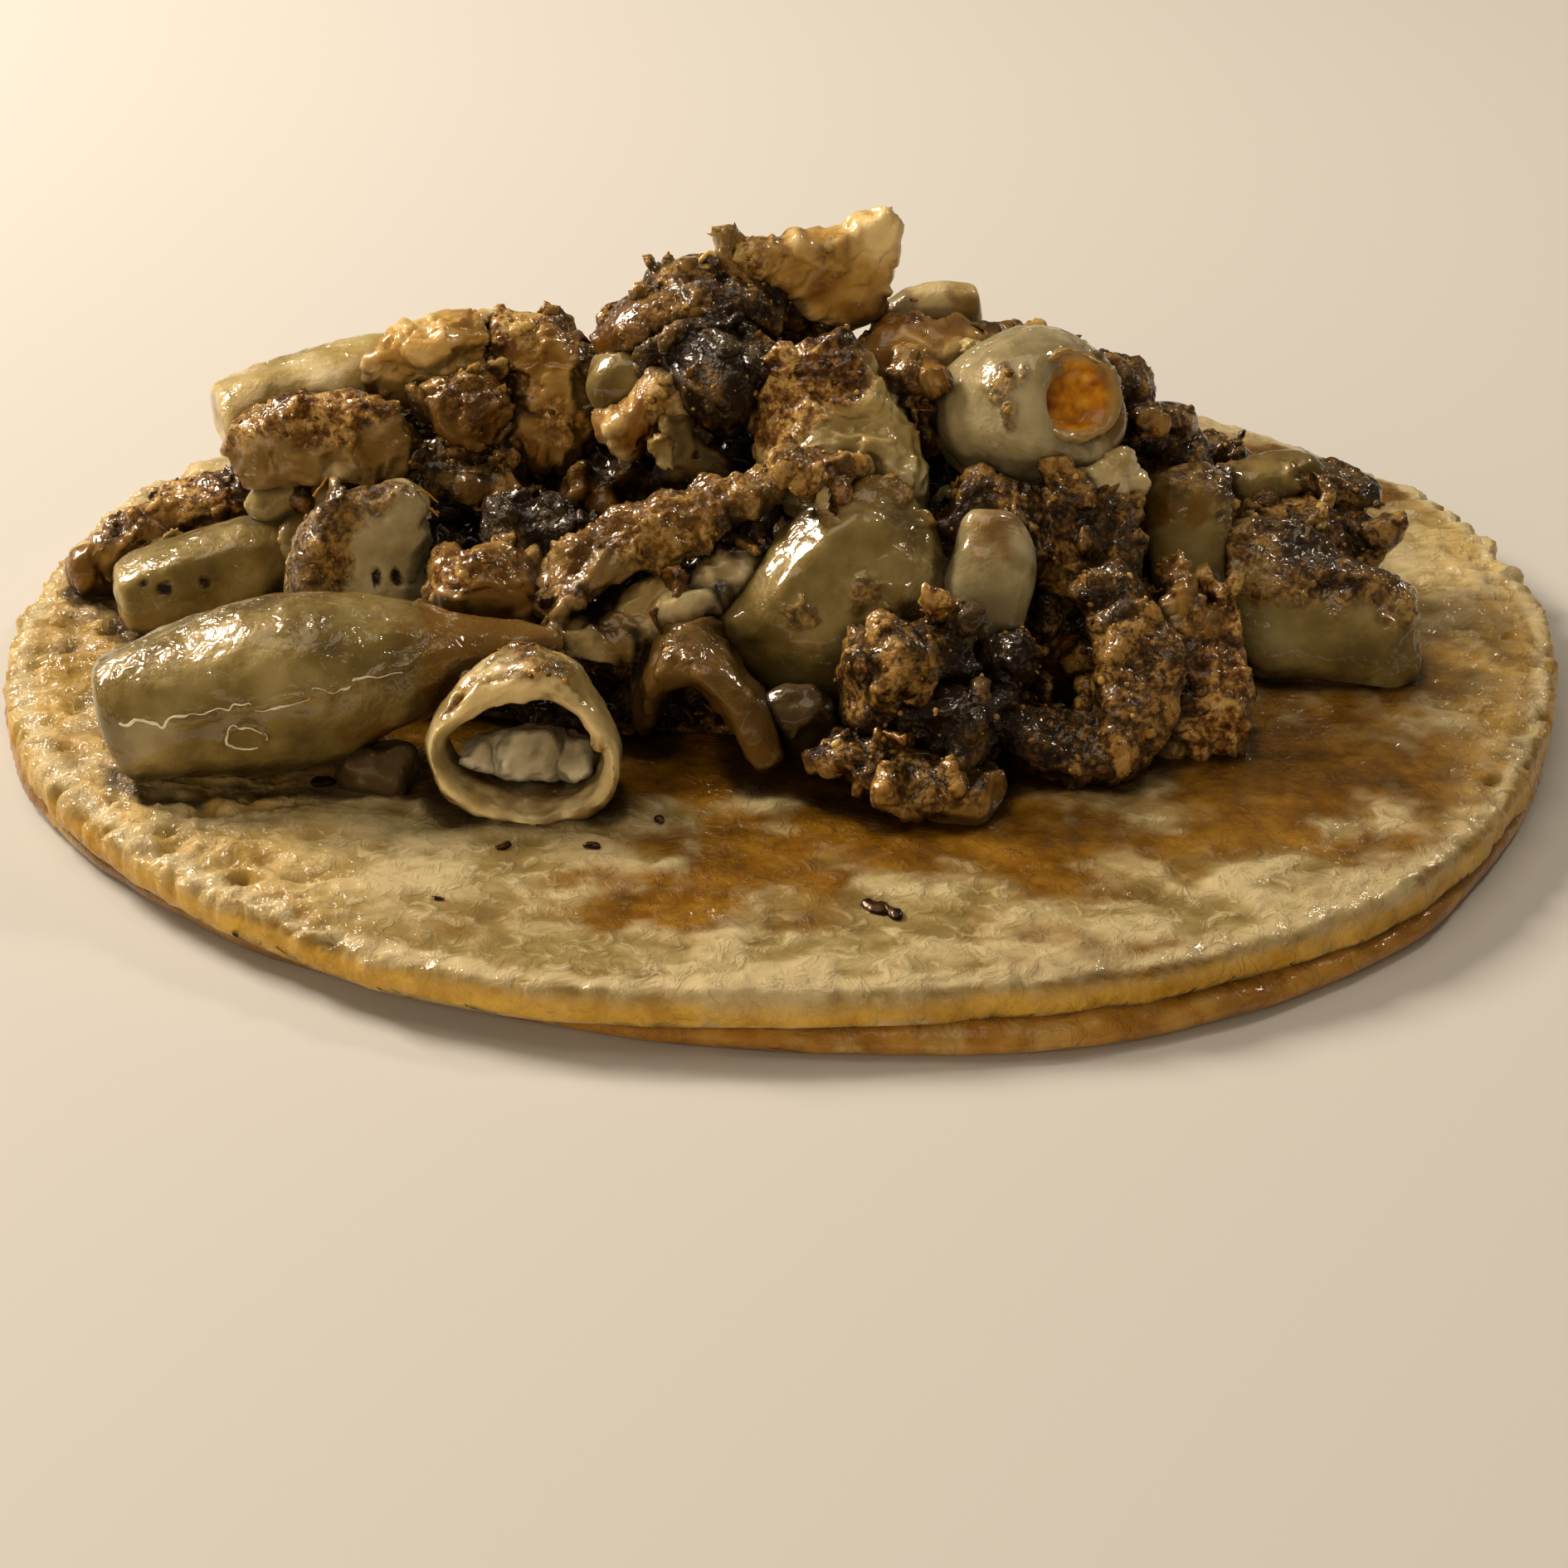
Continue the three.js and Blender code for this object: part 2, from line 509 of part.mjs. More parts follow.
// --- middle
addStrand("curl_long", "tripe_crust", { amount: 0.25, grain: 2.4 }, {
  path: [
    [-1.2, -13, 22.8], [-6, -15, 21.4], [-11, -16.8, 19.6], [-15.4, -18.8, 17.8], [-17.8, -20.8, 15.6],
    [-15.4, -21.6, 13.9], [-11, -20.4, 14.8], [-6.4, -18.4, 16.8], [-2.2, -16.4, 19.2],
  ],
  across: [0, 0.86, 0.5],
  wide: [4.4, 5.4, 6, 6, 5.4, 5, 5, 4.4, 3.4],
  high: [2.4, 3, 3.2, 2.8, 2, 1.8, 1.8, 1.8, 1.6],
  steps: 14,
  sides: 8,
});
addLump("scrap_amber", "tripe_crust", CRAGGY, {
  at: [-23.4, -16.6, 14.2], size: [9, 7, 9], turn: [0, 20, 0], knobs: 0.2, seed: 36,
});
addLump("scrap_brown", "tripe_crust", CRAGGY, {
  at: [-16.6, -11.4, 16], size: [11, 7.4, 7.6], turn: [0, 8, 0], knobs: 0.2, seed: 37,
});

// --- right side
addStrand("tube_right", "tripe_skin", SMOOTH, {
  path: [[15.4, -1.6, 20.4], [16.8, -2.6, 22.6], [19.4, -4.8, 25], [22.6, -8.2, 27]],
  across: [0.95, 0.3, 0],
  wide: [8.6, 13, 13.6, 10.4],
  high: [8, 12, 12.6, 9.2],
  bore: 0.36,
  sides: 14,
  steps: 7,
});
addStrand("shred_centre", "tripe_crust", RUFFLED, {
  path: [[9.8, -3.6, 29.6], [10.4, -4.6, 26.6], [10.6, -6, 22.8]],
  across: ACROSS_X,
  wide: [2.2, 3, 2.6],
  high: [2, 3, 2.6],
  sides: 6,
  steps: 4,
});
addStrand("rim_rag", "tripe_skin", { amount: 0.35, grain: 1.8 }, {
  path: [[20.4, -10.4, 20.8], [23.8, -10.2, 20.6], [27, -8, 21.6]],
  across: [0, 0.5, 0.86],
  wide: [3, 4.4, 3.6],
  high: [2, 2.4, 2],
  sides: 8,
  steps: 4,
});
addStrand("crust_sheet", "tripe_crust", CRAGGY, {
  path: [[12.2, -12.8, 20.2], [17, -13.8, 18.8], [22, -13.4, 17.6], [27.4, -11.8, 16.6]],
  across: [0, 0.5, 0.86],
  wide: [5, 7.8, 8.4, 6.6],
  high: [2.8, 3.4, 3.4, 3],
  steps: 8,
});
addPlate("block_right", "tripe_crust", TORN, {
  outline: [
    [28.4, 19.2], [30.3, 20.2], [33.3, 20.5], [35.4, 19.7], [35.3, 16.8], [34.8, 14.8], [35.4, 11.4], [32.4, 10.2],
    [29.4, 10.8], [28.6, 15.3],
  ],
  foot: [31.8, -7.4, 15], lean: 0.55, thick: 4.6, round: 0.9, bulge: 0.4,
});
addPlate("slab_right", "tripe_crust", TORN, {
  outline: [
    [35.4, 16.2], [38.8, 16.9], [42.7, 15.8], [46.2, 13.7], [48.7, 12.3], [49.4, 10.8], [50.2, 8.7], [49.9, 7.5],
    [48.1, 6.3], [46.4, 5.9], [44.5, 6.4], [40.4, 6.9], [36.7, 7.2], [35.6, 9],
  ],
  foot: [43, -11.5, 10], lean: 0.8, thick: 4.4, round: 1, bulge: 0.5,
});
addStrand("roll_right", "tripe_crust", CRAGGY, {
  path: [[36.2, 3.4, 14.2], [42, 5, 15.2], [48.6, 5.6, 13.8]],
  across: ACROSS_Y,
  wide: [4.4, 5.4, 4],
  high: [3.6, 4.4, 3],
});
addStrand("roll_under", "tripe_crust", CRAGGY, {
  path: [[36.4, 0.4, 11.6], [42, 1.6, 11.4], [47.8, 2.4, 10.4]],
  across: ACROSS_Y,
  wide: [5, 6.4, 5],
  high: [4.4, 5.4, 4.4],
});
addLump("crumb_dark", "tripe_crust", {}, {
  at: [36, 8.4, 15.4], size: [5.4, 4.6, 4], detail: 1, knobs: 0.2, seed: 46,
});
add("knobs_right", "tripe_crust", [[29.8, 2.6, 20.6, 4.6], [31.8, 3.4, 17.4, 5]].map(
  ([x, y, z, size], i) => () =>
    lump({ at: [x, y, z], size: [size, size, size], detail: 1, knobs: 0.22, seed: 47 + i }),
));

// --- back of the top
addStrand("sliver_back", "tripe_skin", SMOOTH, {
  path: [[7.8, 8.8, 27.2], [12, 9.6, 28], [15.8, 9.6, 28]],
  across: ACROSS_Y,
  wide: [3, 4, 3.4],
  high: [2.6, 5, 5],
  sides: 8,
  steps: 5,
});
addLump("knob_back", "tripe_crust", { amount: 0.3, grain: 2 }, {
  at: [11.4, 4.6, 26.2], size: [13, 7.4, 6], turn: [0, 6, 0], knobs: 0.16, seed: 51,
});
addStrand("ridge_back", "tripe_crust", CRAGGY, {
  path: [[15.6, 3.6, 27], [20.6, 3.8, 26.6], [26, 2.8, 25], [29, 0.4, 21.6]],
  across: ACROSS_Y,
  wide: [5, 6, 5.6, 4],
  high: [4, 4.6, 4.6, 3.6],
});

// --- the far side, finished like the near one
addStrand("tube_far_left", "tripe_skin", SMOOTH, {
  path: [[-11, 24.4, 10], [-20, 24.2, 11.2], [-31, 20.4, 11.8]],
  across: ACROSS_Y,
  wide: [7, 12, 12],
  high: [7, 11, 11.4],
  bore: 0.25,
  sides: 12,
});
addStrand("crust_far_left", "tripe_crust", CRAGGY, {
  path: [[-36, 13, 15.6], [-27, 16.4, 19], [-17.6, 15.4, 22.4]],
  across: [0, 0.7, -0.7],
  wide: [8, 12, 8],
  high: [4, 5.2, 4],
});
addStrand("lobe_far", "tripe_skin", SMOOTH, {
  path: [[-2.6, 28, 9], [0.6, 25, 13.6], [4, 19.6, 19]],
  across: [0.94, 0.34, 0],
  wide: [8, 13.6, 9],
  high: [5, 8.4, 5],
  sides: 12,
});
addStrand("crust_far", "tripe_crust", CRAGGY, {
  path: [[-14, 11.8, 26], [-5, 12.8, 25.8], [4.6, 12.4, 24.4]],
  across: [0, 0.8, -0.6],
  wide: [7, 10.5, 8],
  high: [4, 5.4, 4.4],
});
addLump("chunk_far", "tripe_crust", CRAGGY, {
  at: [-8.4, 19.4, 17.6], size: [12, 9, 9], turn: [-25, 0, 10], knobs: 0.2, seed: 61,
});
addStrand("tube_far_right", "tripe_skin", SMOOTH, {
  path: [[10.6, 25.4, 10], [19.4, 22.6, 12], [28.4, 15.6, 11.4]],
  across: [0.3, 0.95, 0],
  wide: [8, 12, 12],
  high: [7.4, 11.6, 11],
  bore: 0.25,
  sides: 12,
});
addStrand("crust_far_right", "tripe_crust", CRAGGY, {
  path: [[9.4, 14.6, 21.8], [17, 14.4, 20.6], [26.4, 9.4, 17]],
  across: [0.2, 0.8, -0.6],
  wide: [8, 11, 8],
  high: [4, 5.2, 4.4],
});

// --- the bed of scraps that carries them all: a mound that sags under each piece that lies on it
const BED = { centre: [-3, 0], wide: 80, deep: 46, high: 16, base: UPPER_TOP + FIT_GAP, reach: 4.2 };

function bedCeiling(x, y) {
  let ceiling = Infinity;
  for (const [px, py, pz] of undersides) {
    if (Math.hypot(px - x, py - y) < BED.reach) ceiling = Math.min(ceiling, pz - FIT_GAP);
  }
  return ceiling;
}

function bed() {
  const profile = [0, 0.8, 1].map((r) => new THREE.Vector2(r, 0));
  for (const r of [1, 0.9, 0.75, 0.55, 0.36, 0.18, 0]) profile.push(new THREE.Vector2(r, 1));
  const geometry = bare(new THREE.LatheGeometry(profile, 22));
  return reshape(geometry, (p) => {
    const x = BED.centre[0] + (p.x * BED.wide) / 2;
    const y = BED.centre[1] - (p.z * BED.deep) / 2;
    const reach = Math.min(Math.hypot(p.x, p.z), 1);
    const mound = BED.high * Math.sqrt(1 - reach ** 2.4) + 1.2 * noise(new THREE.Vector3(x / 6, y / 6, 0), 5);
    const top = Math.min(BED.base + Math.max(mound, 1.2), Math.max(bedCeiling(x, y), BED.base + 0.8));
    p.set(x, y, p.y > 0.5 ? top : BED.base + droop(x, y));
  });
}

const undersides = pieces.flatMap(({ name, swollen }) => {
  if (name.startsWith("tortilla")) return [];
  const { vertProperties } = swollen.getMesh();
  const count = vertProperties.length / 3;
  return Array.from({ length: count }, (_, i) => [...vertProperties.slice(3 * i, 3 * i + 3)]);
});
add("heap_core", "heap_core", bed);

// ---------------------------------------------------------------- fitting and the scene graph
function touches(a, b) {
  const [p, q] = [a.boundingBox(), b.boundingBox()];
  return [0, 1, 2].every((i) => p.min[i] < q.max[i] && q.min[i] < p.max[i]);
}

// The piece without what the pieces above it in the list take up, and without loose scraps.
function fitted(index) {
  let { name, solid } = pieces[index];
  if (name.startsWith("tortilla")) return solid;
  for (const other of pieces.slice(0, index)) {
    if (touches(solid, other.swollen)) solid = solid.subtract(other.swollen);
  }
  solid = solid.simplify(FINEST_STEP);
  const bodies = solid.decompose().sort((a, b) => b.volume() - a.volume());
  if (!bodies.length) throw new Error(name + " is cut away whole");
  return bodies[0];
}

function toMesh(name, look, solid) {
  const { vertProperties, triVerts } = solid.getMesh();
  const geometry = new THREE.BufferGeometry();
  geometry.setAttribute("position", new THREE.BufferAttribute(new Float32Array(vertProperties), 3));
  geometry.setIndex(new THREE.BufferAttribute(new Uint32Array(triVerts), 1));
  geometry.computeBoundingBox();
  const centre = geometry.boundingBox.getCenter(new THREE.Vector3());
  geometry.translate(-centre.x, -centre.y, -centre.z);
  const mesh = new THREE.Mesh(geometry, new THREE.MeshStandardMaterial({ ...LOOKS[look], metalness: 0 }));
  mesh.name = name;
  mesh.position.copy(centre);
  return mesh;
}

const taco = new THREE.Group();
const tortillas = new THREE.Group();
const filling = new THREE.Group();
taco.add(tortillas, filling);
pieces.forEach(({ name, look }, index) => {
  const home = name.startsWith("tortilla") ? tortillas : filling;
  home.add(toMesh(name, look, fitted(index)));
});

export default taco;
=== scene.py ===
"""Dresses an open tripe taco: two oily corn tortillas under a heap of griddled beef tripe."""

import json
import math

from random import Random

import bpy
import numpy as np
from mathutils import Euler, Matrix, Vector
from mathutils.bvhtree import BVHTree

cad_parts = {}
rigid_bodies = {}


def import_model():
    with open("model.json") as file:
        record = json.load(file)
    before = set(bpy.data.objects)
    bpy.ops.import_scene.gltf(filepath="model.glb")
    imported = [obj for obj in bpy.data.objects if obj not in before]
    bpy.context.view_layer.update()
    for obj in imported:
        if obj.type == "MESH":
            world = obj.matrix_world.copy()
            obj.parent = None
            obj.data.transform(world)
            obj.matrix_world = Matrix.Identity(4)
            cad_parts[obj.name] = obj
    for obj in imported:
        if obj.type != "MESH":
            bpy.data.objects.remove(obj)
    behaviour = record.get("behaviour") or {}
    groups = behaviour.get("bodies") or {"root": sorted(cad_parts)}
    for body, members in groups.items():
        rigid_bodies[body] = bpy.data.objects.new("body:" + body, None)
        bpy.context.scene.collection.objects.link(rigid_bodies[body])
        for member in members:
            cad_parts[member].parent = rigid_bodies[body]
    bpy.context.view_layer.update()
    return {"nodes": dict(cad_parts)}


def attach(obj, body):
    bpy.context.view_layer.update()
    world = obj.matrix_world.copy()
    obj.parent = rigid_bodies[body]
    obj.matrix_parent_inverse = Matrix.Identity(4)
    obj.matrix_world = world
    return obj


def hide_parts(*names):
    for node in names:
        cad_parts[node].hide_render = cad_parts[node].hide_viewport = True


bl_info = {
    "name": "Tripe Taco",
    "version": (1, 0, 0),
    "blender": (4, 5, 0),
    "location": "View3D > Sidebar > Taco",
    "description": "Gives the solids of an open tripe taco their crust, skin, crumbs and oil",
    "category": "Object",
}

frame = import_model()
NODES = frame["nodes"]
MM = 0.001

# ---------------------------------------------------------------- settings a user would change


class TacoTortillaSettings(bpy.types.PropertyGroup):
    voxel: bpy.props.FloatProperty(
        name="Mesh step", description="Spacing of the points on the tortillas", default=0.42 * MM, unit="LENGTH"
    )
    blister_size: bpy.props.FloatProperty(
        name="Blister size", description="Width of the puffed spots", default=7 * MM, unit="LENGTH"
    )
    blister_height: bpy.props.FloatProperty(
        name="Blister height", description="How far the spots puff up", default=0.25 * MM, unit="LENGTH"
    )
    pucker_size: bpy.props.FloatProperty(
        name="Pucker size", description="Width of the folds in the dry skin", default=1.5 * MM, unit="LENGTH"
    )
    pucker_height: bpy.props.FloatProperty(
        name="Pucker height", description="Height of the folds in the dry skin", default=0.16 * MM, unit="LENGTH"
    )


class TacoFillingSettings(bpy.types.PropertyGroup):
    voxel: bpy.props.FloatProperty(
        name="Mesh step", description="Spacing of the points on the tripe", default=0.24 * MM, unit="LENGTH"
    )
    clump_size: bpy.props.FloatProperty(
        name="Clump size", description="Width of the clumps in the crust", default=2.2 * MM, unit="LENGTH"
    )
    clump_height: bpy.props.FloatProperty(
        name="Clump height", description="Height of the clumps in the crust", default=0.75 * MM, unit="LENGTH"
    )
    knob_spacing: bpy.props.FloatProperty(
        name="Knob spacing", description="Distance between the knobs of crust", default=1.7 * MM, unit="LENGTH"
    )
    knob_size: bpy.props.FloatProperty(
        name="Knob size", description="Width of a knob of crust", default=1.5 * MM, unit="LENGTH"
    )
    grain_size: bpy.props.FloatProperty(
        name="Grain size", description="Width of the grains in the crust", default=0.8 * MM, unit="LENGTH"
    )
    crumbs: bpy.props.IntProperty(
        name="Crumbs", description="Loose crumbs of each colour on the crust", default=600, min=0
    )
    flakes: bpy.props.IntProperty(
        name="Flakes", description="Thin torn flakes of each colour on the crust", default=200, min=0
    )
    fibres: bpy.props.IntProperty(
        name="Fibres", description="Fine fibres of each colour on the crust", default=60, min=0
    )
    shreds: bpy.props.IntProperty(
        name="Shreds", description="Bent shreds of each colour in the gaps between the pieces", default=36, min=0
    )
    droplets: bpy.props.IntProperty(
        name="Droplets", description="Beads of clear fat on the crust", default=600, min=0
    )
    scraps: bpy.props.IntProperty(
        name="Scraps", description="Small pieces in the bed of the heap", default=210, min=0
    )


class TacoStageSettings(bpy.types.PropertyGroup):
    distance: bpy.props.FloatProperty(
        name="Camera distance",
        description="From the camera to the top of the tortillas",
        default=0.27,
        unit="LENGTH",
    )
    height: bpy.props.FloatProperty(
        name="Aim height",
        description="Height of the point that the distance is counted to",
        default=5.5 * MM,
        unit="LENGTH",
    )
    elevation: bpy.props.FloatProperty(
        name="Elevation",
        description="Angle of the camera above the table",
        default=math.radians(24.5),
        subtype="ANGLE",
    )
    dip: bpy.props.FloatProperty(
        name="Dip",
        description="How far below the aim point the picture's middle is",
        default=math.radians(2.956),
        subtype="ANGLE",
    )
    lens: bpy.props.FloatProperty(name="Lens", description="Focal length in millimetres", default=75.6)


# ---------------------------------------------------------------- numbers


def smooth(low, high, value):
    """0 below low, 1 above high, with a soft turn between."""
    t = np.clip((value - low) / (high - low), 0.0, 1.0)
    return t * t * (3 - 2 * t)


def lattice(cells, seed):
    """A repeatable number from 0 to 1 for each whole-number cell."""
    x, y, z = (cells[..., i].astype(np.int64) for i in range(3))
    h = (x * 374761393 + y * 668265263 + z * 1440662683 + seed * 1274126177) & 0xFFFFFFFF
    h = ((h ^ (h >> 13)) * 1103515245) & 0xFFFFFFFF
    h = ((h ^ (h >> 15)) * 668265263) & 0xFFFFFFFF
    return (h ^ (h >> 16)).astype(np.float64) / 0xFFFFFFFF


def waves(points, size, seed):
    """Soft noise from -1 to 1 with humps about `size` wide."""
    p = points / size
    cell = np.floor(p)
    f = p - cell
    f = f * f * (3 - 2 * f)
    total = np.zeros(len(points))
    for corner in np.ndindex(2, 2, 2):
        weight = np.prod(np.where(corner, f, 1 - f), axis=1)
        total += weight * lattice(cell + corner, seed)
    return 2 * total - 1


def rough(points, size, seed, octaves=3):
    """Noise from about -1 to 1 with finer and finer humps."""
    total = sum(waves(points, size / 2**i, seed + i) / 2**i for i in range(octaves))
    return total / (2 - 0.5 ** (octaves - 1))


def drift(points, size, seed):
    """A soft push in three directions, each from about -1 to 1."""
    return np.stack([rough(points, size, seed + 17 * i, 2) for i in (1, 2, 3)], axis=1)


def grains(points, size, seed):
    """Packed round grains: 1 on the top of a grain, 0 in the gaps between them."""
    p = points / size
    cell = np.floor(p)
    nearest = np.full(len(points), 9.0)
    for step in np.ndindex(3, 3, 3):
        other = cell + step - 1
        seat = other + np.stack([lattice(other, seed + i) for i in (1, 2, 3)], axis=1)
        nearest = np.minimum(nearest, np.sum((p - seat) ** 2, axis=1))
    return np.clip(1 - nearest / 0.55, 0.0, 1.0)


# ---------------------------------------------------------------- meshes

SOFT_CREASE = 0.85  # keeps the cuts of a solid nearly sharp when the rest is rounded
UNDERSIDE_SHARE = 0.12


def select_only(piece):
    bpy.ops.object.select_all(action="DESELECT")
    piece.select_set(True)
    bpy.context.view_layer.objects.active = piece


def joined(pieces):
    """Joins the pieces into the first of them."""
    select_only(pieces[0])
    for piece in pieces[1:]:
        piece.select_set(True)
    bpy.ops.object.join()
    return pieces[0]


def dressed(*ends):
    """The objects whose names end like this."""
    return [o for o in bpy.data.objects if o.name.endswith(ends)]


def apply(piece, kind, **settings):
    """Adds a modifier with these settings and applies it."""
    select_only(piece)
    bpy.ops.object.modifier_add(type=kind)
    modifier = piece.modifiers[-1]
    for key, value in settings.items():
        setattr(modifier, key, value)
    bpy.ops.object.modifier_apply(modifier=modifier.name)


def copy_of(node, name):
    """A welded copy of a solid, as a piece of its own."""
    piece = bpy.data.objects.new(name, NODES[node].data.copy())
    bpy.context.collection.objects.link(piece)
    piece.data.materials.clear()
    select_only(piece)
    bpy.ops.object.mode_set(mode="EDIT")
    bpy.ops.mesh.select_all(action="SELECT")
    bpy.ops.mesh.remove_doubles(threshold=0.01 * MM)
    bpy.ops.object.mode_set(mode="OBJECT")
    return piece


def refine(piece, voxel, rounds=3, sharp=0.95, knobs=None):
    """Rounds a faceted solid, but not along its cuts, and gives it an even, fine mesh.

    The knobs are a function that makes small lumps on the rounded solid, to be melted into it.
    """
    select_only(piece)
    bpy.ops.object.mode_set(mode="EDIT")
    bpy.ops.mesh.select_mode(type="EDGE")
    bpy.ops.mesh.select_all(action="DESELECT")
    bpy.ops.mesh.edges_select_sharp(sharpness=sharp)
    bpy.ops.transform.edge_crease(value=SOFT_CREASE)
    bpy.ops.object.mode_set(mode="OBJECT")
    apply(piece, "SUBSURF", levels=2, render_levels=2)
    lumps = knobs and knobs(piece)
    if lumps:
        joined([piece, lumps])
    apply(piece, "REMESH", mode="VOXEL", voxel_size=voxel, use_smooth_shade=True)
    apply(piece, "SMOOTH", iterations=rounds, factor=0.5)


def cluster(name, places, sizes, template, squash, bend, random, jitter):
    """One mesh of many small shapes, each with its own size, turn, squash and bend."""
    corners, faces = template
    count, width = len(places), len(corners)
    turns = random.normal(size=(count, 4))
    w, x, y, z = (turns / np.linalg.norm(turns, axis=1)[:, None]).T
    rotation = np.array(
        [
            [1 - 2 * (y * y + z * z), 2 * (x * y - w * z), 2 * (x * z + w * y)],
            [2 * (x * y + w * z), 1 - 2 * (x * x + z * z), 2 * (y * z - w * x)],
            [2 * (x * z - w * y), 2 * (y * z + w * x), 1 - 2 * (x * x + y * y)],
        ]
    ).transpose(2, 0, 1)
    shapes = corners[None] * random.uniform(0.6, 1.3, size=(count, 1, 3)) * squash
    shapes = shapes * random.uniform(1 - jitter, 1 + jitter, size=(count, width, 1))
    curl = random.uniform(-bend, bend, size=(count, 2))
    shapes[:, :, 2] += curl[:, :1] * shapes[:, :, 0] ** 2 + 0.5 * curl[:, 1:] * shapes[:, :, 0] * shapes[:, :, 1]
    shapes[:, :, 1] += 0.4 * curl[:, 1:] * shapes[:, :, 0] ** 2
    shapes = shapes @ rotation * sizes[:, None, None] + places[:, None]
    mesh = bpy.data.meshes.new(name)
    each = (faces[None] + width * np.arange(count)[:, None, None]).reshape(-1, faces.shape[1])
    mesh.from_pydata(shapes.reshape(-1, 3).tolist(), [], each.tolist())
    piece = bpy.data.objects.new(name, mesh)
    bpy.context.collection.objects.link(piece)
    return piece


def template_of(primitive, thickness=None, rounded=False, **settings):
    """The corners and faces of a small shape to scatter; a sheet gets a thickness and round corners."""
    bpy.ops.object.select_all(action="DESELECT")
    primitive(**settings)
    made = bpy.context.active_object
    if thickness:
        points = points_of(made)
        move_points(made, points * np.sqrt(1 - 2 * points[:, [1, 0, 2]] ** 2 * (1, 1, 0)))
        apply(made, "SOLIDIFY", thickness=thickness, offset=0)
    if rounded:
        apply(made, "SUBSURF", levels=1, render_levels=1)
    corners = points_of(made)
    faces = np.array([p.vertices[:] for p in made.data.polygons])
    bpy.data.objects.remove(made)
    return corners, faces


def thin_underside(piece):
    """Gives the faces that point down a coarser mesh, with UNDERSIDE_SHARE of their triangles."""
    group = piece.vertex_groups.new(name="underside")
    down = np.flatnonzero(normals_of(piece)[:, 2] < -0.6)
    group.add(down.tolist(), 1.0, "REPLACE")
    apply(piece, "DECIMATE", ratio=UNDERSIDE_SHARE, vertex_group="underside")
    piece.vertex_groups.clear()


def blurred(piece, points, rounds):
    """Points moved to the mean of their neighbours, again and again."""
    ends = np.empty(len(piece.data.edges) * 2, dtype=np.int32)
    piece.data.edges.foreach_get("vertices", ends)
    a, b = ends.reshape(-1, 2).T
    size = len(points)
    count = np.maximum(np.bincount(a, minlength=size) + np.bincount(b, minlength=size), 1)[:, None]
    for _ in range(rounds):
        total = np.stack(
            [np.bincount(a, points[b, i], size) + np.bincount(b, points[a, i], size) for i in range(3)], axis=1
        )
        points = 0.5 * points + 0.5 * total / count
    return points


def ridges(piece, points, normals, rounds, low, high):
    """1 on sharp outer edges, 0 on flats and in hollows."""
    return smooth(low, high, np.sum((points - blurred(piece, points, rounds)) * normals, axis=1))


def points_of(piece):
    points = np.empty(len(piece.data.vertices) * 3)
    piece.data.vertices.foreach_get("co", points)
    return points.reshape(-1, 3)


def normals_of(piece):
    normals = np.empty(len(piece.data.vertices) * 3, dtype=np.float32)
    piece.data.vertex_normals.foreach_get("vector", normals)
    return normals.reshape(-1, 3).astype(np.float64)


def move_points(piece, points):
    piece.data.vertices.foreach_set("co", points.ravel())
    piece.data.update()


def mark(piece, **fields):
    """Keeps numbers from 0 to 1 on the points, for the material to read."""
    for name, values in fields.items():
        layer = piece.data.attributes.new(name, "FLOAT", "POINT")
        layer.data.foreach_set("value", np.clip(values, 0, 1).astype(np.float32))


def finish(piece, material, slot, *nodes):
    piece.data.materials.clear()
    piece.data.materials.append(material)
    select_only(piece)
    bpy.ops.object.shade_smooth()
    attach(piece, "root")
    if nodes:
        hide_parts(*nodes)


# ---------------------------------------------------------------- materials

BURNT = "#150c05"
BURNT_CORN = "#130b05"
PAINTED_GAP_SHADE = "#140a02"  # painted shade, laid into the gaps where the pieces crowd each other
# Painted shade on the tortillas, under and between the pieces.
PAINTED_CORN_SHADE = "#241404"
THREE_SHADES = (0.3, 0.5, 0.7)  # where the dark, middle and light shade of a mottled colour sit
CRUST_SHADES = (0.2, 0.34, 0.46, 0.6)  # from the cracks of the crust to its tops


def linear(colour):
    """An sRGB hex colour as linear RGBA."""
    parts = [int(colour[i : i + 2], 16) / 255 for i in (1, 3, 5)]
    return tuple(c / 12.92 if c <= 0.04045 else ((c + 0.055) / 1.055) ** 2.4 for c in parts) + (1.0,)


def node(tree, kind, links=None, stops=None, **settings):
    """Adds a node with its settings; `links` gives its inputs values or other nodes' outputs."""
    made = tree.nodes.new(kind)
    for key, value in settings.items():
        setattr(made, key, value)
    for key, value in (links or {}).items():
        if isinstance(value, bpy.types.NodeSocket):
            tree.links.new(value, made.inputs[key])
        else:
            made.inputs[key].default_value = value
    if stops:
        ends = made.color_ramp.elements
        while len(ends) < len(stops):
            ends.new(0.5)
        for element, (place, colour) in zip(ends, stops):
            element.position = place
            element.color = linear(colour)
    return made


def new_material(name):
    material = bpy.data.materials.new(name)
    material.use_nodes = True
    material.node_tree.nodes.clear()
    return material, material.node_tree


def place_on(tree):
    """The place of each point on its object."""
    return node(tree, "ShaderNodeTexCoord").outputs["Object"]


def attribute(tree, name):
    return node(tree, "ShaderNodeAttribute", attribute_name=name).outputs["Fac"]


def noise(tree, place, size, detail, roughness=0.5, distortion=0.0):
    """Noise with humps about `size` wide."""
    links = {"Vector": place, "Scale": 1 / size, "Detail": detail}
    links |= {"Roughness": roughness, "Distortion": distortion}
    return node(tree, "ShaderNodeTexNoise", links).outputs


def calc(tree, operation, *values):
    return node(tree, "ShaderNodeMath", dict(enumerate(values)), operation=operation).outputs[0]


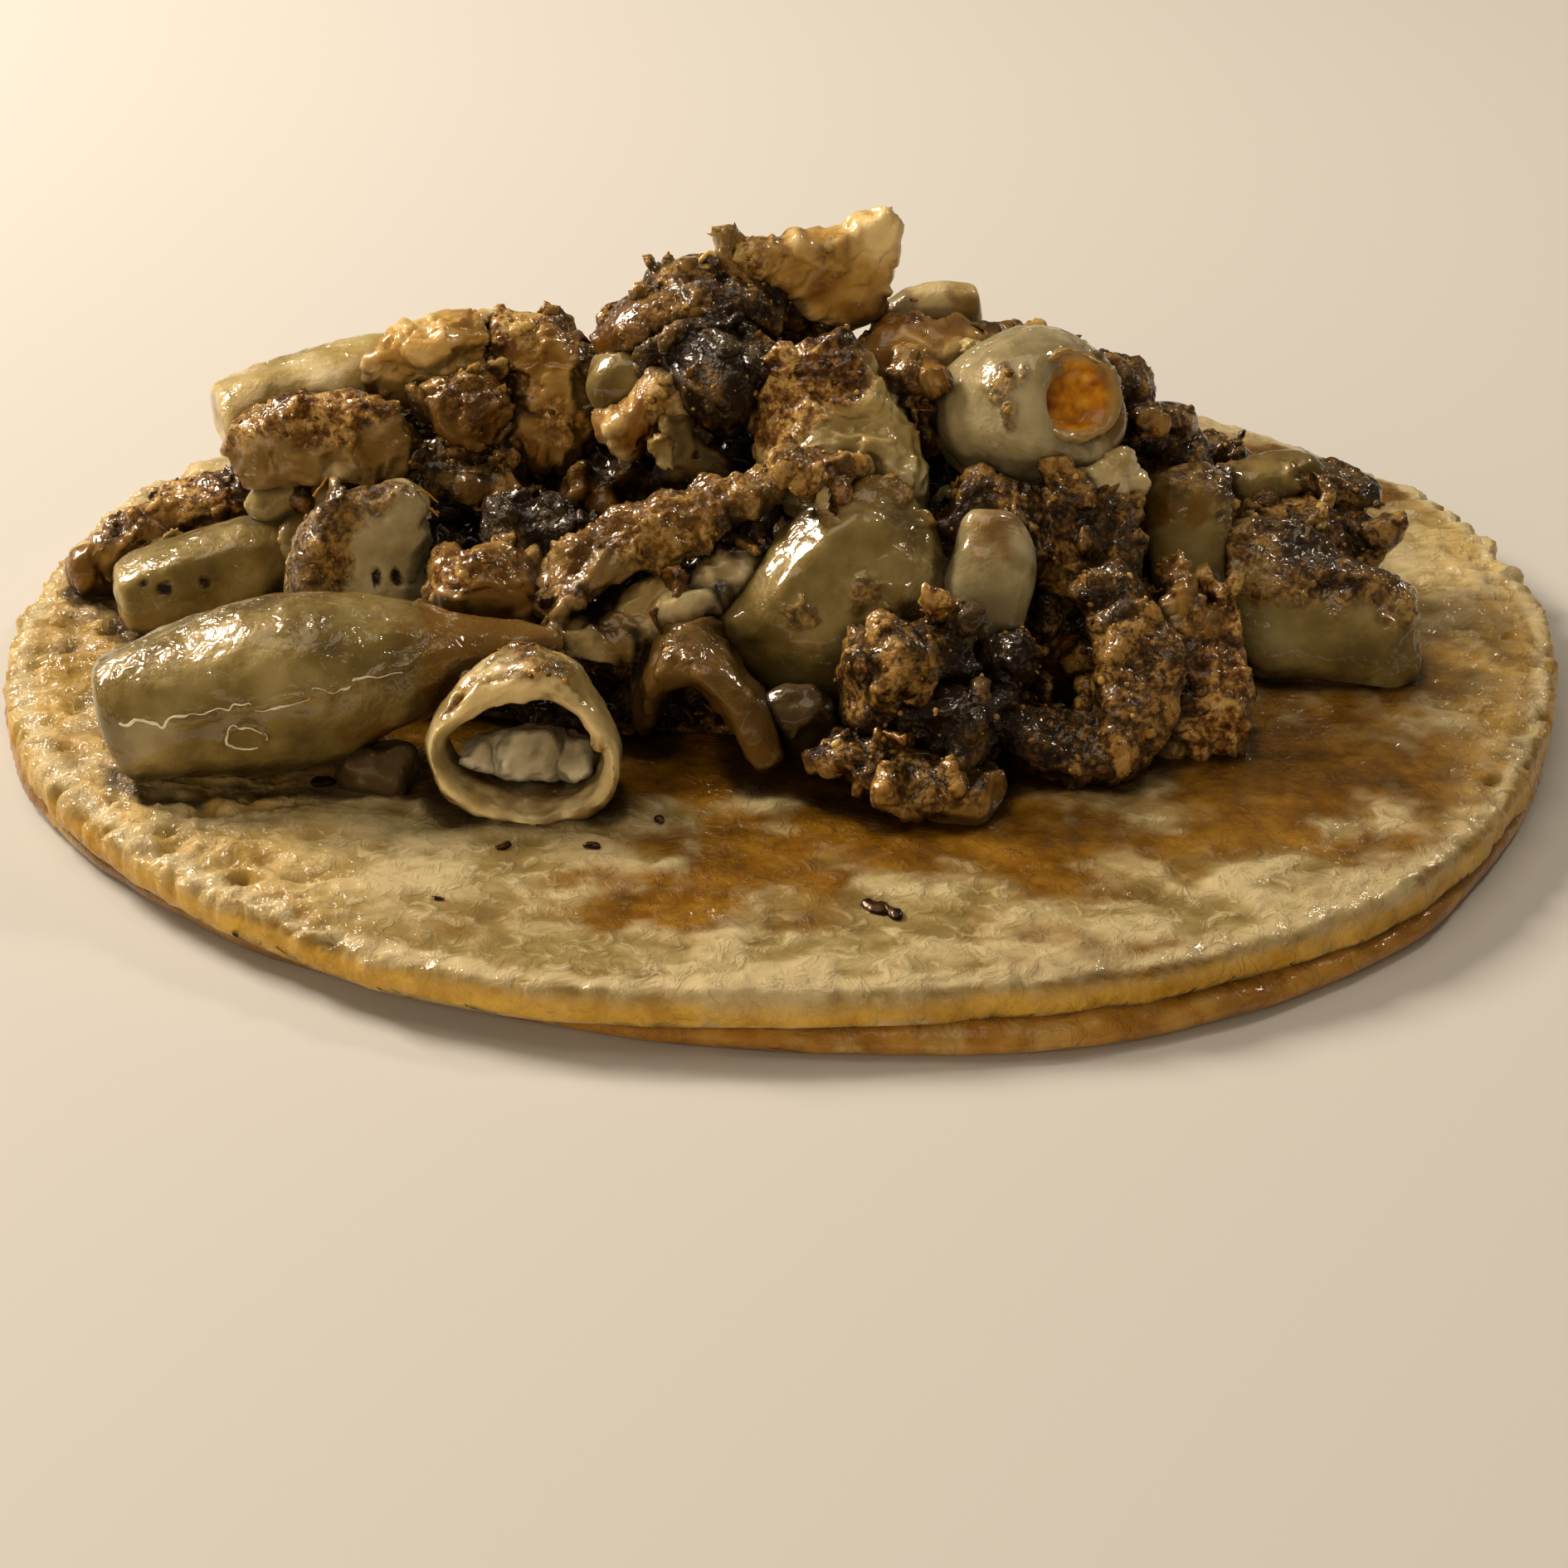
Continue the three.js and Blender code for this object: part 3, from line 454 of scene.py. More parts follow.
def between(tree, value, low, high, start=0.0, end=1.0):
    """Goes from low to high as the value goes from start to end."""
    return node(tree, "ShaderNodeMapRange", {0: value, 1: start, 2: end, 3: low, 4: high}).outputs[0]


def mixed(tree, share, first, second):
    return node(tree, "ShaderNodeMix", {0: share, 2: first, 3: second}, data_type="FLOAT").outputs[0]


def ramp(tree, value, places, colours):
    """Lays colours along a value."""
    return node(tree, "ShaderNodeValToRGB", {"Fac": value}, stops=list(zip(places, colours))).outputs["Color"]


def blend(tree, share, below, above):
    """Lays one colour over another by the attribute named, from 0 to 1."""
    above = above if isinstance(above, bpy.types.NodeSocket) else linear(above)
    links = {0: attribute(tree, share), 6: below, 7: above}
    return node(tree, "ShaderNodeMix", links, data_type="RGBA").outputs[2]


def bump(tree, height, strength, distance, under=None, **settings):
    """Bumps of this height, laid over the bumps under them."""
    links = {"Height": height, "Strength": strength, "Distance": distance}
    if under is not None:
        links["Normal"] = under
    return node(tree, "ShaderNodeBump", links, **settings).outputs["Normal"]


def surface(tree, colour, roughness, links):
    """Shades the piece with this colour and roughness and the other inputs given."""
    links = {"Base Color": colour, "Roughness": roughness, **links}
    shader = node(tree, "ShaderNodeBsdfPrincipled", links)
    node(tree, "ShaderNodeOutputMaterial", {"Surface": shader.outputs["BSDF"]})


def tripe_material(name, skin, rim, crust, soaked, skin_roughness, gloss):
    """Cooked beef tripe: wet translucent skin that fries to a beaded brown crust.

    The skin lets light in and is filmed with fat, so it shows soft shades and small sharp glints. Its
    cut rims and edges are paler, partly their own colour and partly a painted highlight where they catch
    the light. The crust is dark between its beads and amber on them, and nearly black where burnt.
    Where the pieces crowd each other it all takes painted shade. Its fat film tints what it mirrors, so
    the shadows stay warm.
    """
    material, tree = new_material(name)
    place = place_on(tree)
    fried = attribute(tree, "crust")
    cloud = noise(tree, place, 5 * MM, 3.0)["Fac"]
    mottle = noise(tree, place, 3 * MM, 6.0, 0.65)["Fac"]
    grain = noise(tree, place, 0.5 * MM, 3.0)
    film = noise(tree, place, 1.3 * MM, 2.0, distortion=0.7)["Fac"]
    crags = noise(tree, place, 1.0 * MM, 5.0, 0.65, 0.5)["Fac"]
    bent = {0: grain["Color"], 1: (0.5 * MM,) * 3, 2: place}
    bent = node(tree, "ShaderNodeVectorMath", bent, operation="MULTIPLY_ADD").outputs[0]
    beads = node(tree, "ShaderNodeTexVoronoi", {"Vector": bent, "Scale": 1 / (0.45 * MM)}).outputs["Distance"]
    hollow = calc(tree, "MULTIPLY", beads, beads)
    heights = mixed(tree, 0.55, attribute(tree, "high"), mottle)
    heights = calc(tree, "MULTIPLY_ADD", hollow, -0.2, heights)
    heights = calc(tree, "ADD", heights, between(tree, crags, -0.2, 0.2, 0.3, 0.7))
    colour = blend(tree, "rim", ramp(tree, cloud, THREE_SHADES, skin), rim)
    colour = blend(tree, "crust", colour, ramp(tree, heights, CRUST_SHADES, crust))
    # The gap field lays painted shade over the colour where the pieces crowd each other.
    for field, over in (("amber", soaked), ("char", BURNT), ("gap", PAINTED_GAP_SHADE)):
        colour = blend(tree, field, colour, over)
    patchy = between(tree, mottle, 0.1, 0.65, 0.42, 0.6)
    bumps = bump(tree, grain["Fac"], 0.5, 0.2 * MM)
    bumps = bump(tree, hollow, between(tree, fried, 0.05, patchy), 0.32 * MM, bumps, invert=True)
    bumps = bump(tree, crags, between(tree, fried, 0.04, 0.9), 0.7 * MM, bumps)
    glints = bump(tree, film, between(tree, attribute(tree, "wet"), 0.12, 1.0), 0.55 * MM)
    surface(
        tree,
        colour,
        between(tree, fried, skin_roughness, 0.3),
        {
            "IOR": 1.42,
            "Normal": bumps,
            "Specular IOR Level": 0.4,
            "Specular Tint": linear("#ffc880"),
            "Subsurface Weight": 0.3,
            "Subsurface Radius": (1.0, 0.6, 0.28),
            "Subsurface Scale": 1.2 * MM,
            "Coat Weight": gloss,
            "Coat Roughness": 0.04,
            "Coat IOR": 1.6,
            "Coat Normal": glints,
        },
    )
    return material


def tortilla_material(name, dry, soaked, edge, toast):
    """Griddled corn tortilla: a dry papery skin that turns amber and glossy where fat soaks in.

    Under and between the pieces it is darkened with painted shade.
    """
    material, tree = new_material(name)
    place = place_on(tree)
    cloud = noise(tree, place, 4 * MM, 6.0, 0.65)["Fac"]
    flakes = noise(tree, place, 1.8 * MM, 6.0, 0.62, 0.8)["Fac"]
    film = noise(tree, place, 1.1 * MM, 3.0, distortion=0.5)["Fac"]
    folds = calc(tree, "ABSOLUTE", calc(tree, "SUBTRACT", flakes, 0.5))
    folds = between(tree, folds, 0.0, 1.0, 0.0, 0.12)
    heights = mixed(tree, 0.5, attribute(tree, "high"), flakes)
    heights = calc(tree, "MULTIPLY_ADD", folds, 0.1, heights)
    colour = ramp(tree, heights, (0.34, 0.54, 0.76), dry)
    colour = blend(tree, "soak", colour, ramp(tree, cloud, THREE_SHADES, soaked))
    colour = blend(tree, "band", colour, ramp(tree, cloud, (0.35, 0.65), edge))
    # The gap field lays painted shade where the pieces crowd over the tortilla.
    for field, over in (("toast", toast), ("char", BURNT_CORN), ("gap", PAINTED_CORN_SHADE)):
        colour = blend(tree, field, colour, over)
    bumps = bump(tree, flakes, 0.9, 0.5 * MM)
    bumps = bump(tree, folds, 0.3, 0.1 * MM, bumps)
    glints = bump(tree, film, between(tree, attribute(tree, "wet"), 0.25, 1.0), 0.85 * MM)
    surface(
        tree,
        colour,
        between(tree, attribute(tree, "soak"), 0.6, 0.25),
        {
            "IOR": 1.45,
            "Normal": bumps,
            "Specular IOR Level": 0.4,
            "Specular Tint": linear("#ffbe6e"),
            "Subsurface Weight": 0.12,
            "Subsurface Radius": (1.0, 0.6, 0.25),
            "Subsurface Scale": 1.2 * MM,
            "Coat Weight": 0.6,
            "Coat Roughness": 0.06,
            "Coat Normal": glints,
        },
    )
    return material


def morsel_material(name, colours, gloss=0.2):
    """Fried crumbs, flakes and fibres of tripe: each one its own shade, thin enough to glow at the rim.

    In the gaps between the pieces they are darkened with painted shade.
    """
    material, tree = new_material(name)
    place = place_on(tree)
    shade = mixed(tree, 0.35, attribute(tree, "shade"), noise(tree, place, 0.7 * MM, 3.0)["Fac"])
    surface(
        tree,
        # Painted shade where the bits lie in the gaps.
        blend(tree, "gap", ramp(tree, shade, (0.2, 0.5, 0.8), colours), "#140b04"),
        0.3,
        {
            "IOR": 1.42,
            "Specular Tint": linear("#ffbe6e"),
            "Subsurface Weight": 0.25,
            "Subsurface Radius": (1.0, 0.6, 0.3),
            "Subsurface Scale": 0.8 * MM,
            "Coat Weight": gloss,
            "Coat Roughness": 0.08,
        },
    )
    return material


def marrow_material():
    """Soft marrow-like fat inside a tube: deep orange-yellow, moist, with painted shade in its dimples."""
    material, tree = new_material("cooked_marrow_fat")
    mottle = noise(tree, place_on(tree), 1.6 * MM, 4.0)["Fac"]
    colour = ramp(tree, mottle, (0.34, 0.5, 0.66), ("#9a5603", "#d08a10", "#f0b83c"))
    # The gap field lays painted shade in the dimples.
    colour = blend(tree, "gap", blend(tree, "rim", colour, "#9c8148"), "#4a2804")
    surface(
        tree,
        colour,
        0.35,
        {
            "IOR": 1.42,
            "Subsurface Weight": 0.4,
            "Subsurface Radius": (1.0, 0.5, 0.15),
            "Subsurface Scale": 1.5 * MM,
            "Coat Weight": 0.5,
            "Coat Roughness": 0.08,
        },
    )
    return material


def droplet_material():
    """Clear melted fat: amber over brown crust, very smooth, so each bead holds a bright point."""
    material, tree = new_material("melted_beef_fat")
    surface(tree, linear("#8a6a30"), 0.04, {"IOR": 1.46, "Coat Weight": 1.0, "Coat Roughness": 0.03})
    return material


def floor_material():
    """Matt white laminate: even and pale, so only soft shadows show on it."""
    material, tree = new_material("matt_white_laminate")
    surface(tree, linear("#cfcdca"), 0.7, {"Specular IOR Level": 0.2})
    return material


# ---------------------------------------------------------------- tortillas

FOOT = (-3 * MM, -2 * MM)  # middle of the heap on the tortilla
FOOT_HALF = (46 * MM, 27 * MM)  # half its width and depth
SOAKED_SPOTS = [  # x, y, radius across and radius deep, in millimetres
    (-2, -42, 14, 8),
    (12, -38, 18, 7),
    (-8, -48, 8, 4),
    (-53, -18, 8, 12),
    (57, -8, 5, 14),
    (52, -27, 6, 8),
    (24, -47, 3, 2.4),
    (36, -26, 14, 7),
    (-58, 6, 5, 14),
    (38, 34, 9, 5),
    (-28, 44, 12, 6),
]
DRY_SPOTS = [
    (-30, -42, 14, 9),
    (28, -49, 12, 5),
    (-8, -55, 30, 3.6),
    (-20, -40, 8, 4),
    (56, 14, 8, 14),
]
CHAR_SPECKS = [  # x, y and radius, in millimetres
    (-33.9, -30.5, 0.8),
    (-20, -39.7, 0.6),
    (-13.7, -40, 0.5),
    (6.3, -48.4, 1.0),
    (7.6, -49.2, 0.7),
    (-1.2, -59.5, 0.5),
    (5.2, -60.4, 0.5),
    (-9, -36, 0.45),
    (33, -57, 0.5),
    (41, -51, 0.5),
    (-24, -47, 0.4),
    (24, 46, 0.8),
    (-40, 38, 0.7),
    (6, 52, 0.6),
]


def spot(points, x, y, wide, deep):
    """1 in the middle of an oval spot, falling to 0 and below outside it."""
    return 1 - np.hypot((points[:, 0] / MM - x) / wide, (points[:, 1] / MM - y) / deep)


def soaked(points):
    """How far fat has soaked into each point of the upper tortilla."""
    foot = 1.2 - np.hypot((points[:, 0] - FOOT[0]) / FOOT_HALF[0], (points[:, 1] - FOOT[1]) / FOOT_HALF[1])
    # Towards the right a low soak is laid everywhere: partly fat, partly painted shade that darkens that side.
    fat = np.maximum(2.2 * foot, 0.12 - 0.6 * smooth(30 * MM, 0, points[:, 0]))
    for x, y, wide, deep in SOAKED_SPOTS:
        fat = np.maximum(fat, spot(points, x, y, wide, deep))
    for x, y, wide, deep in DRY_SPOTS:
        fat = fat - 1.1 * np.clip(spot(points, x, y, wide, deep), 0, 1)
    bent = points + 1.5 * MM * drift(points, 5 * MM, 10)
    ragged = 0.9 * rough(bent, 9 * MM, 11) + 0.7 * rough(bent, 3 * MM, 12, 4)
    return smooth(-0.35, 0.35, fat + ragged)


FLECK_SHAPE = (1.25, 0.75, 0.45, 1)


def dress_specks():
    """Burnt flecks that lie on the upper tortilla, each a small squashed lump."""
    chance = Random(3)
    bpy.context.view_layer.update()
    upper = bpy.data.objects["corn_upper_skin"]
    flecks = []
    for x, y, radius in CHAR_SPECKS:
        _, place, normal, _ = upper.ray_cast(Vector((x, y, 40)) * MM, Vector((0, 0, -1)))
        bpy.ops.mesh.primitive_ico_sphere_add(subdivisions=3, radius=radius * MM)
        fleck = bpy.context.active_object
        spin = Matrix.Rotation(chance.uniform(0, math.tau), 4, "Z")
        turn = normal.to_track_quat("Z", "X").to_matrix().to_4x4() @ spin
        seat = Matrix.Translation(place + normal * 0.12 * MM)
        fleck.data.transform(seat @ turn @ Matrix.Diagonal(FLECK_SHAPE))
        flecks.append(fleck)
    piece = joined(flecks)
    piece.name = "burnt_flecks"
    points, normals = points_of(piece), normals_of(piece)
    move_points(piece, points + normals * (0.3 * MM * rough(points, 0.7 * MM, 17))[:, None])
    mark(piece, shade=smooth(-0.6, 0.6, rough(points, 0.8 * MM, 19)))
    finish(piece, morsel_material("burnt_corn", ("#0c0603", "#1d0e05", "#3a200c")), "corn_upper")


RIM_PARTS = 120


def rim_of(points):
    """For each point, how far up the tortilla's edge it is, from 0 to 1, and how far in from the rim."""
    reach = np.hypot(points[:, 0], points[:, 1])
    turn = np.arctan2(points[:, 1], points[:, 0])
    bins = ((turn / math.tau) % 1 * RIM_PARTS).astype(int) % RIM_PARTS
    far, low, high = np.zeros(RIM_PARTS), np.full(RIM_PARTS, 1.0), np.full(RIM_PARTS, -1.0)
    np.maximum.at(far, bins, reach)
    outer = reach > far[bins] - 1.5 * MM
    np.minimum.at(low, bins[outer], points[outer, 2])
    np.maximum.at(high, bins[outer], points[outer, 2])
    middles = (np.arange(RIM_PARTS) + 0.5) / RIM_PARTS * math.tau
    far, low, high = (np.interp(turn % math.tau, middles, values, period=math.tau) for values in (far, low, high))
    return (points[:, 2] - low) / (high - low), far - reach


def way_out(points):
    """How far each point is from the middle of the tortilla, and its level direction from there."""
    reach = np.hypot(points[:, 0], points[:, 1])
    return reach, np.stack([points[:, 0] / reach, points[:, 1] / reach, 0 * reach], axis=1)


FRIED_STREAK = 0.52 * MM  # heights and depths of the upper tortilla's relief
FRIED_GRIT = 0.2 * MM
SHEET_STEP = 0.09 * MM
CREASE_HEIGHT = 0.09 * MM
STRETCH_HEIGHT = 0.11 * MM
BUBBLE_HEIGHT = 0.24 * MM
LIP_HEIGHT = 0.35 * MM
NOTCH_DEPTH = 1.1 * MM
DROOP = 1.25 * MM


def dress_upper_tortilla(settings):
    piece = copy_of("tortilla_upper", "corn_upper_skin")
    refine(piece, settings.voxel, rounds=3)
    thin_underside(piece)
    points, normals = points_of(piece), normals_of(piece)
    reach, outward = way_out(points)
    share, inset = rim_of(points)
    top = smooth(0.35, 0.75, normals[:, 2])
    under = smooth(0.3, 0.8, -normals[:, 2])
    side = (1 - top) * (1 - under)
    soak = soaked(points)
    left = smooth(36 * MM, 50 * MM, -points[:, 0] - 0.25 * points[:, 1])  # the rim there is fried in fat
    right = smooth(50 * MM, 57 * MM, points[:, 0] - 0.1 * points[:, 1])
    wild = np.maximum(left, 0.8 * right) * smooth(-0.5, 0.2, rough(points, 9 * MM, 18) + 0.3)
    bent = points + 1.2 * MM * drift(points, 5 * MM, 19)
    dry = top * (1 - soak)
    pucker = 1 - 1.7 * np.abs(rough(bent * (0.8, 1.25, 1), settings.pucker_size * 1.7, 21))
    fried = 1 - 4 * np.abs(rough(bent * (0.5, 1.3, 1), 2.1 * MM, 20))  # streaks that run left to right
    around = np.stack([reach, np.arctan2(bent[:, 1], bent[:, 0]) * 9 * MM, 0 * reach], axis=1)
    stretch = 1 - 2 * np.abs(rough(around, 2.4 * MM, 27))
    crease = 1 - 2.2 * np.abs(rough(bent, 6 * MM, 24))
    sheets = smooth(-0.06, 0.06, rough(bent, 9 * MM, 22)) + smooth(-0.05, 0.05, rough(bent, 5 * MM, 25))
    bubbles = grains(bent * (1, 1, 0.3), 1.7 * MM, 23) * smooth(0.1, 0.5, rough(points, 6 * MM, 14))
    height = settings.pucker_height * (0.55 + 0.55 * dry) * (pucker - 0.2)
    height += FRIED_STREAK * wild * fried + FRIED_GRIT * wild * rough(bent, 1.1 * MM, 43)
    height += SHEET_STEP * (sheets - 1) * (0.4 + dry)
    height += CREASE_HEIGHT * crease + STRETCH_HEIGHT * stretch * smooth(34 * MM, 50 * MM, reach) * (1 - left)
    height += settings.blister_height * rough(points, settings.blister_size, 26)
    height += BUBBLE_HEIGHT * soak * bubbles
    lip = smooth(1.9 * MM, 0.7 * MM, inset + 0.5 * MM * rough(points, 3 * MM, 31)) * top
    height += LIP_HEIGHT * lip * rough(points, 1.8 * MM, 28)
    notches = smooth(0.25, 0.6, rough(points * (1, 1, 0.3), 6 * MM, 38))
    notches *= smooth(48 * MM, 56 * MM, points[:, 0])
    rim_push = 0.45 * MM * rough(points * (1, 1, 1.6), 7 * MM, 29) + 0.3 * MM * rough(points, 2 * MM, 30)
    rim_push = (rim_push - 0.2 * MM - NOTCH_DEPTH * notches) * smooth(7 * MM, 1 * MM, inset)
    droop = -DROOP * smooth(0.75, 0.1, share) * smooth(3.2 * MM, 1.2 * MM, inset)
    moved = points + normals * (height * (top + 0.5 * side))[:, None] + outward * rim_push[:, None]
    moved[:, 2] = np.maximum(moved[:, 2] + droop, 0)
    move_points(piece, moved)
    high = 0.5 + 0.35 * (pucker - 0.3) + 0.2 * (sheets - 1) + 0.1 * crease + 0.12 * stretch
    ragged = 0.5 * rough(points, 2.5 * MM, 32, 4)
    upper_lip = smooth(0.8, 0.92, share + 0.2 * ragged)
    upper_lip *= smooth(2.2 * MM, 1.2 * MM, inset + 1.5 * MM * ragged)
    lower_lip = smooth(0.2, 0.06, share + 0.2 * ragged) * side
    pale = np.maximum(upper_lip, 0.8 * lower_lip)
    gold = np.maximum(side, 0.4 * wild * smooth(-0.4, 0.4, rough(bent, 3 * MM, 39) + 0.2))
    spots = smooth(0.5, 0.8, rough(points, 1.9 * MM, 13)) * 0.6
    mark(
        piece,
        soak=np.maximum(soak, spots) * top * (1 - pale) * (1 - 0.75 * wild),
        band=gold * (1 - pale),
        toast=0.35 * smooth(0.3, 0.8, rough(points, 7 * MM, 15) + 0.5 * rough(points, 1.6 * MM, 16)),
        char=0 * share,
        high=high + 0.5 * pale + 0.2 * wild * (fried - 0.3),
        wet=np.maximum(wild, 0.7 * soak * smooth(-0.1, 0.4, rough(points, 5 * MM, 40))),
    )
    material = tortilla_material(
        "griddled_corn_tortilla",
        dry=("#68562a", "#907d4a", "#c9b88c"),
        soaked=("#4c3004", "#78500a", "#9c7220"),
        edge=("#b88a20", "#dfb44c"),
        toast="#7c5418",
    )
    finish(piece, material, "corn_upper", "tortilla_upper")


def dress_lower_tortilla(settings):
    piece = copy_of("tortilla_lower", "corn_lower_skin")
    refine(piece, settings.voxel * 1.15, rounds=3)
    thin_underside(piece)
    points, normals = points_of(piece), normals_of(piece)
    _, outward = way_out(points)
    _, inset = rim_of(points)
    push = 0.5 * MM * rough(points, 9 * MM, 37) - 0.2 * MM
    height = np.minimum(0.25 * MM * rough(points, 3 * MM, 32), 0.1 * MM) * smooth(-0.5, 0.2, normals[:, 2])
    moved = points + normals * height[:, None] + outward * (push * smooth(7 * MM, 1 * MM, inset))[:, None]
    moved[:, 2] = np.maximum(moved[:, 2], 0)
    move_points(piece, moved)
    spots = smooth(0.45, 0.75, grains(points * (1, 1, 0.6), 3.2 * MM, 31))
    left = smooth(10 * MM, 45 * MM, -points[:, 0])
    mark(
        piece,
        soak=0.9 - 0.75 * spots * smooth(-0.2, 0.4, rough(points, 9 * MM, 33)) - 0.3 * left,
        band=0.5 * smooth(-0.1, 0.4, rough(points, 7 * MM, 41)),
        toast=0.7 * smooth(-0.2, 0.5, rough(points, 6 * MM, 34) + 0.7 * left - 0.25),
        char=0.6 * smooth(0.65, 0.8, rough(points, 2 * MM, 35)),
        high=0.5 + 0.4 * rough(points, 2 * MM, 36),
        wet=smooth(0.0, 0.5, rough(points, 4 * MM, 42)),
    )
    material = tortilla_material(
        "oil_soaked_corn_tortilla",
        dry=("#9a7a3c", "#bc9a58", "#d6ba7c"),
        soaked=("#7a4e10", "#a37022", "#bd8e3e"),
        edge=("#9a6a1c", "#c4943e"),
        toast="#6c4a2c",
    )
    finish(piece, material, "corn_lower", "tortilla_lower")


class TACO_OT_tortillas(bpy.types.Operator):
    """Dress the two corn tortillas"""

    bl_idname = "taco.tortillas"
    bl_label = "Tortillas"

    def execute(self, context):
        settings = context.scene.taco_tortilla
        dress_upper_tortilla(settings)
        dress_lower_tortilla(settings)
        dress_specks()
        return {"FINISHED"}


# ---------------------------------------------------------------- filling

# What each piece of tripe is like: its kind, then crust, amber and char. Each of these holds how much
# of the piece it covers, below -1 for none and above 1 for all, and the way in which it grows, if any.
NONE = (-3.0,)
ALL = (3.0,)

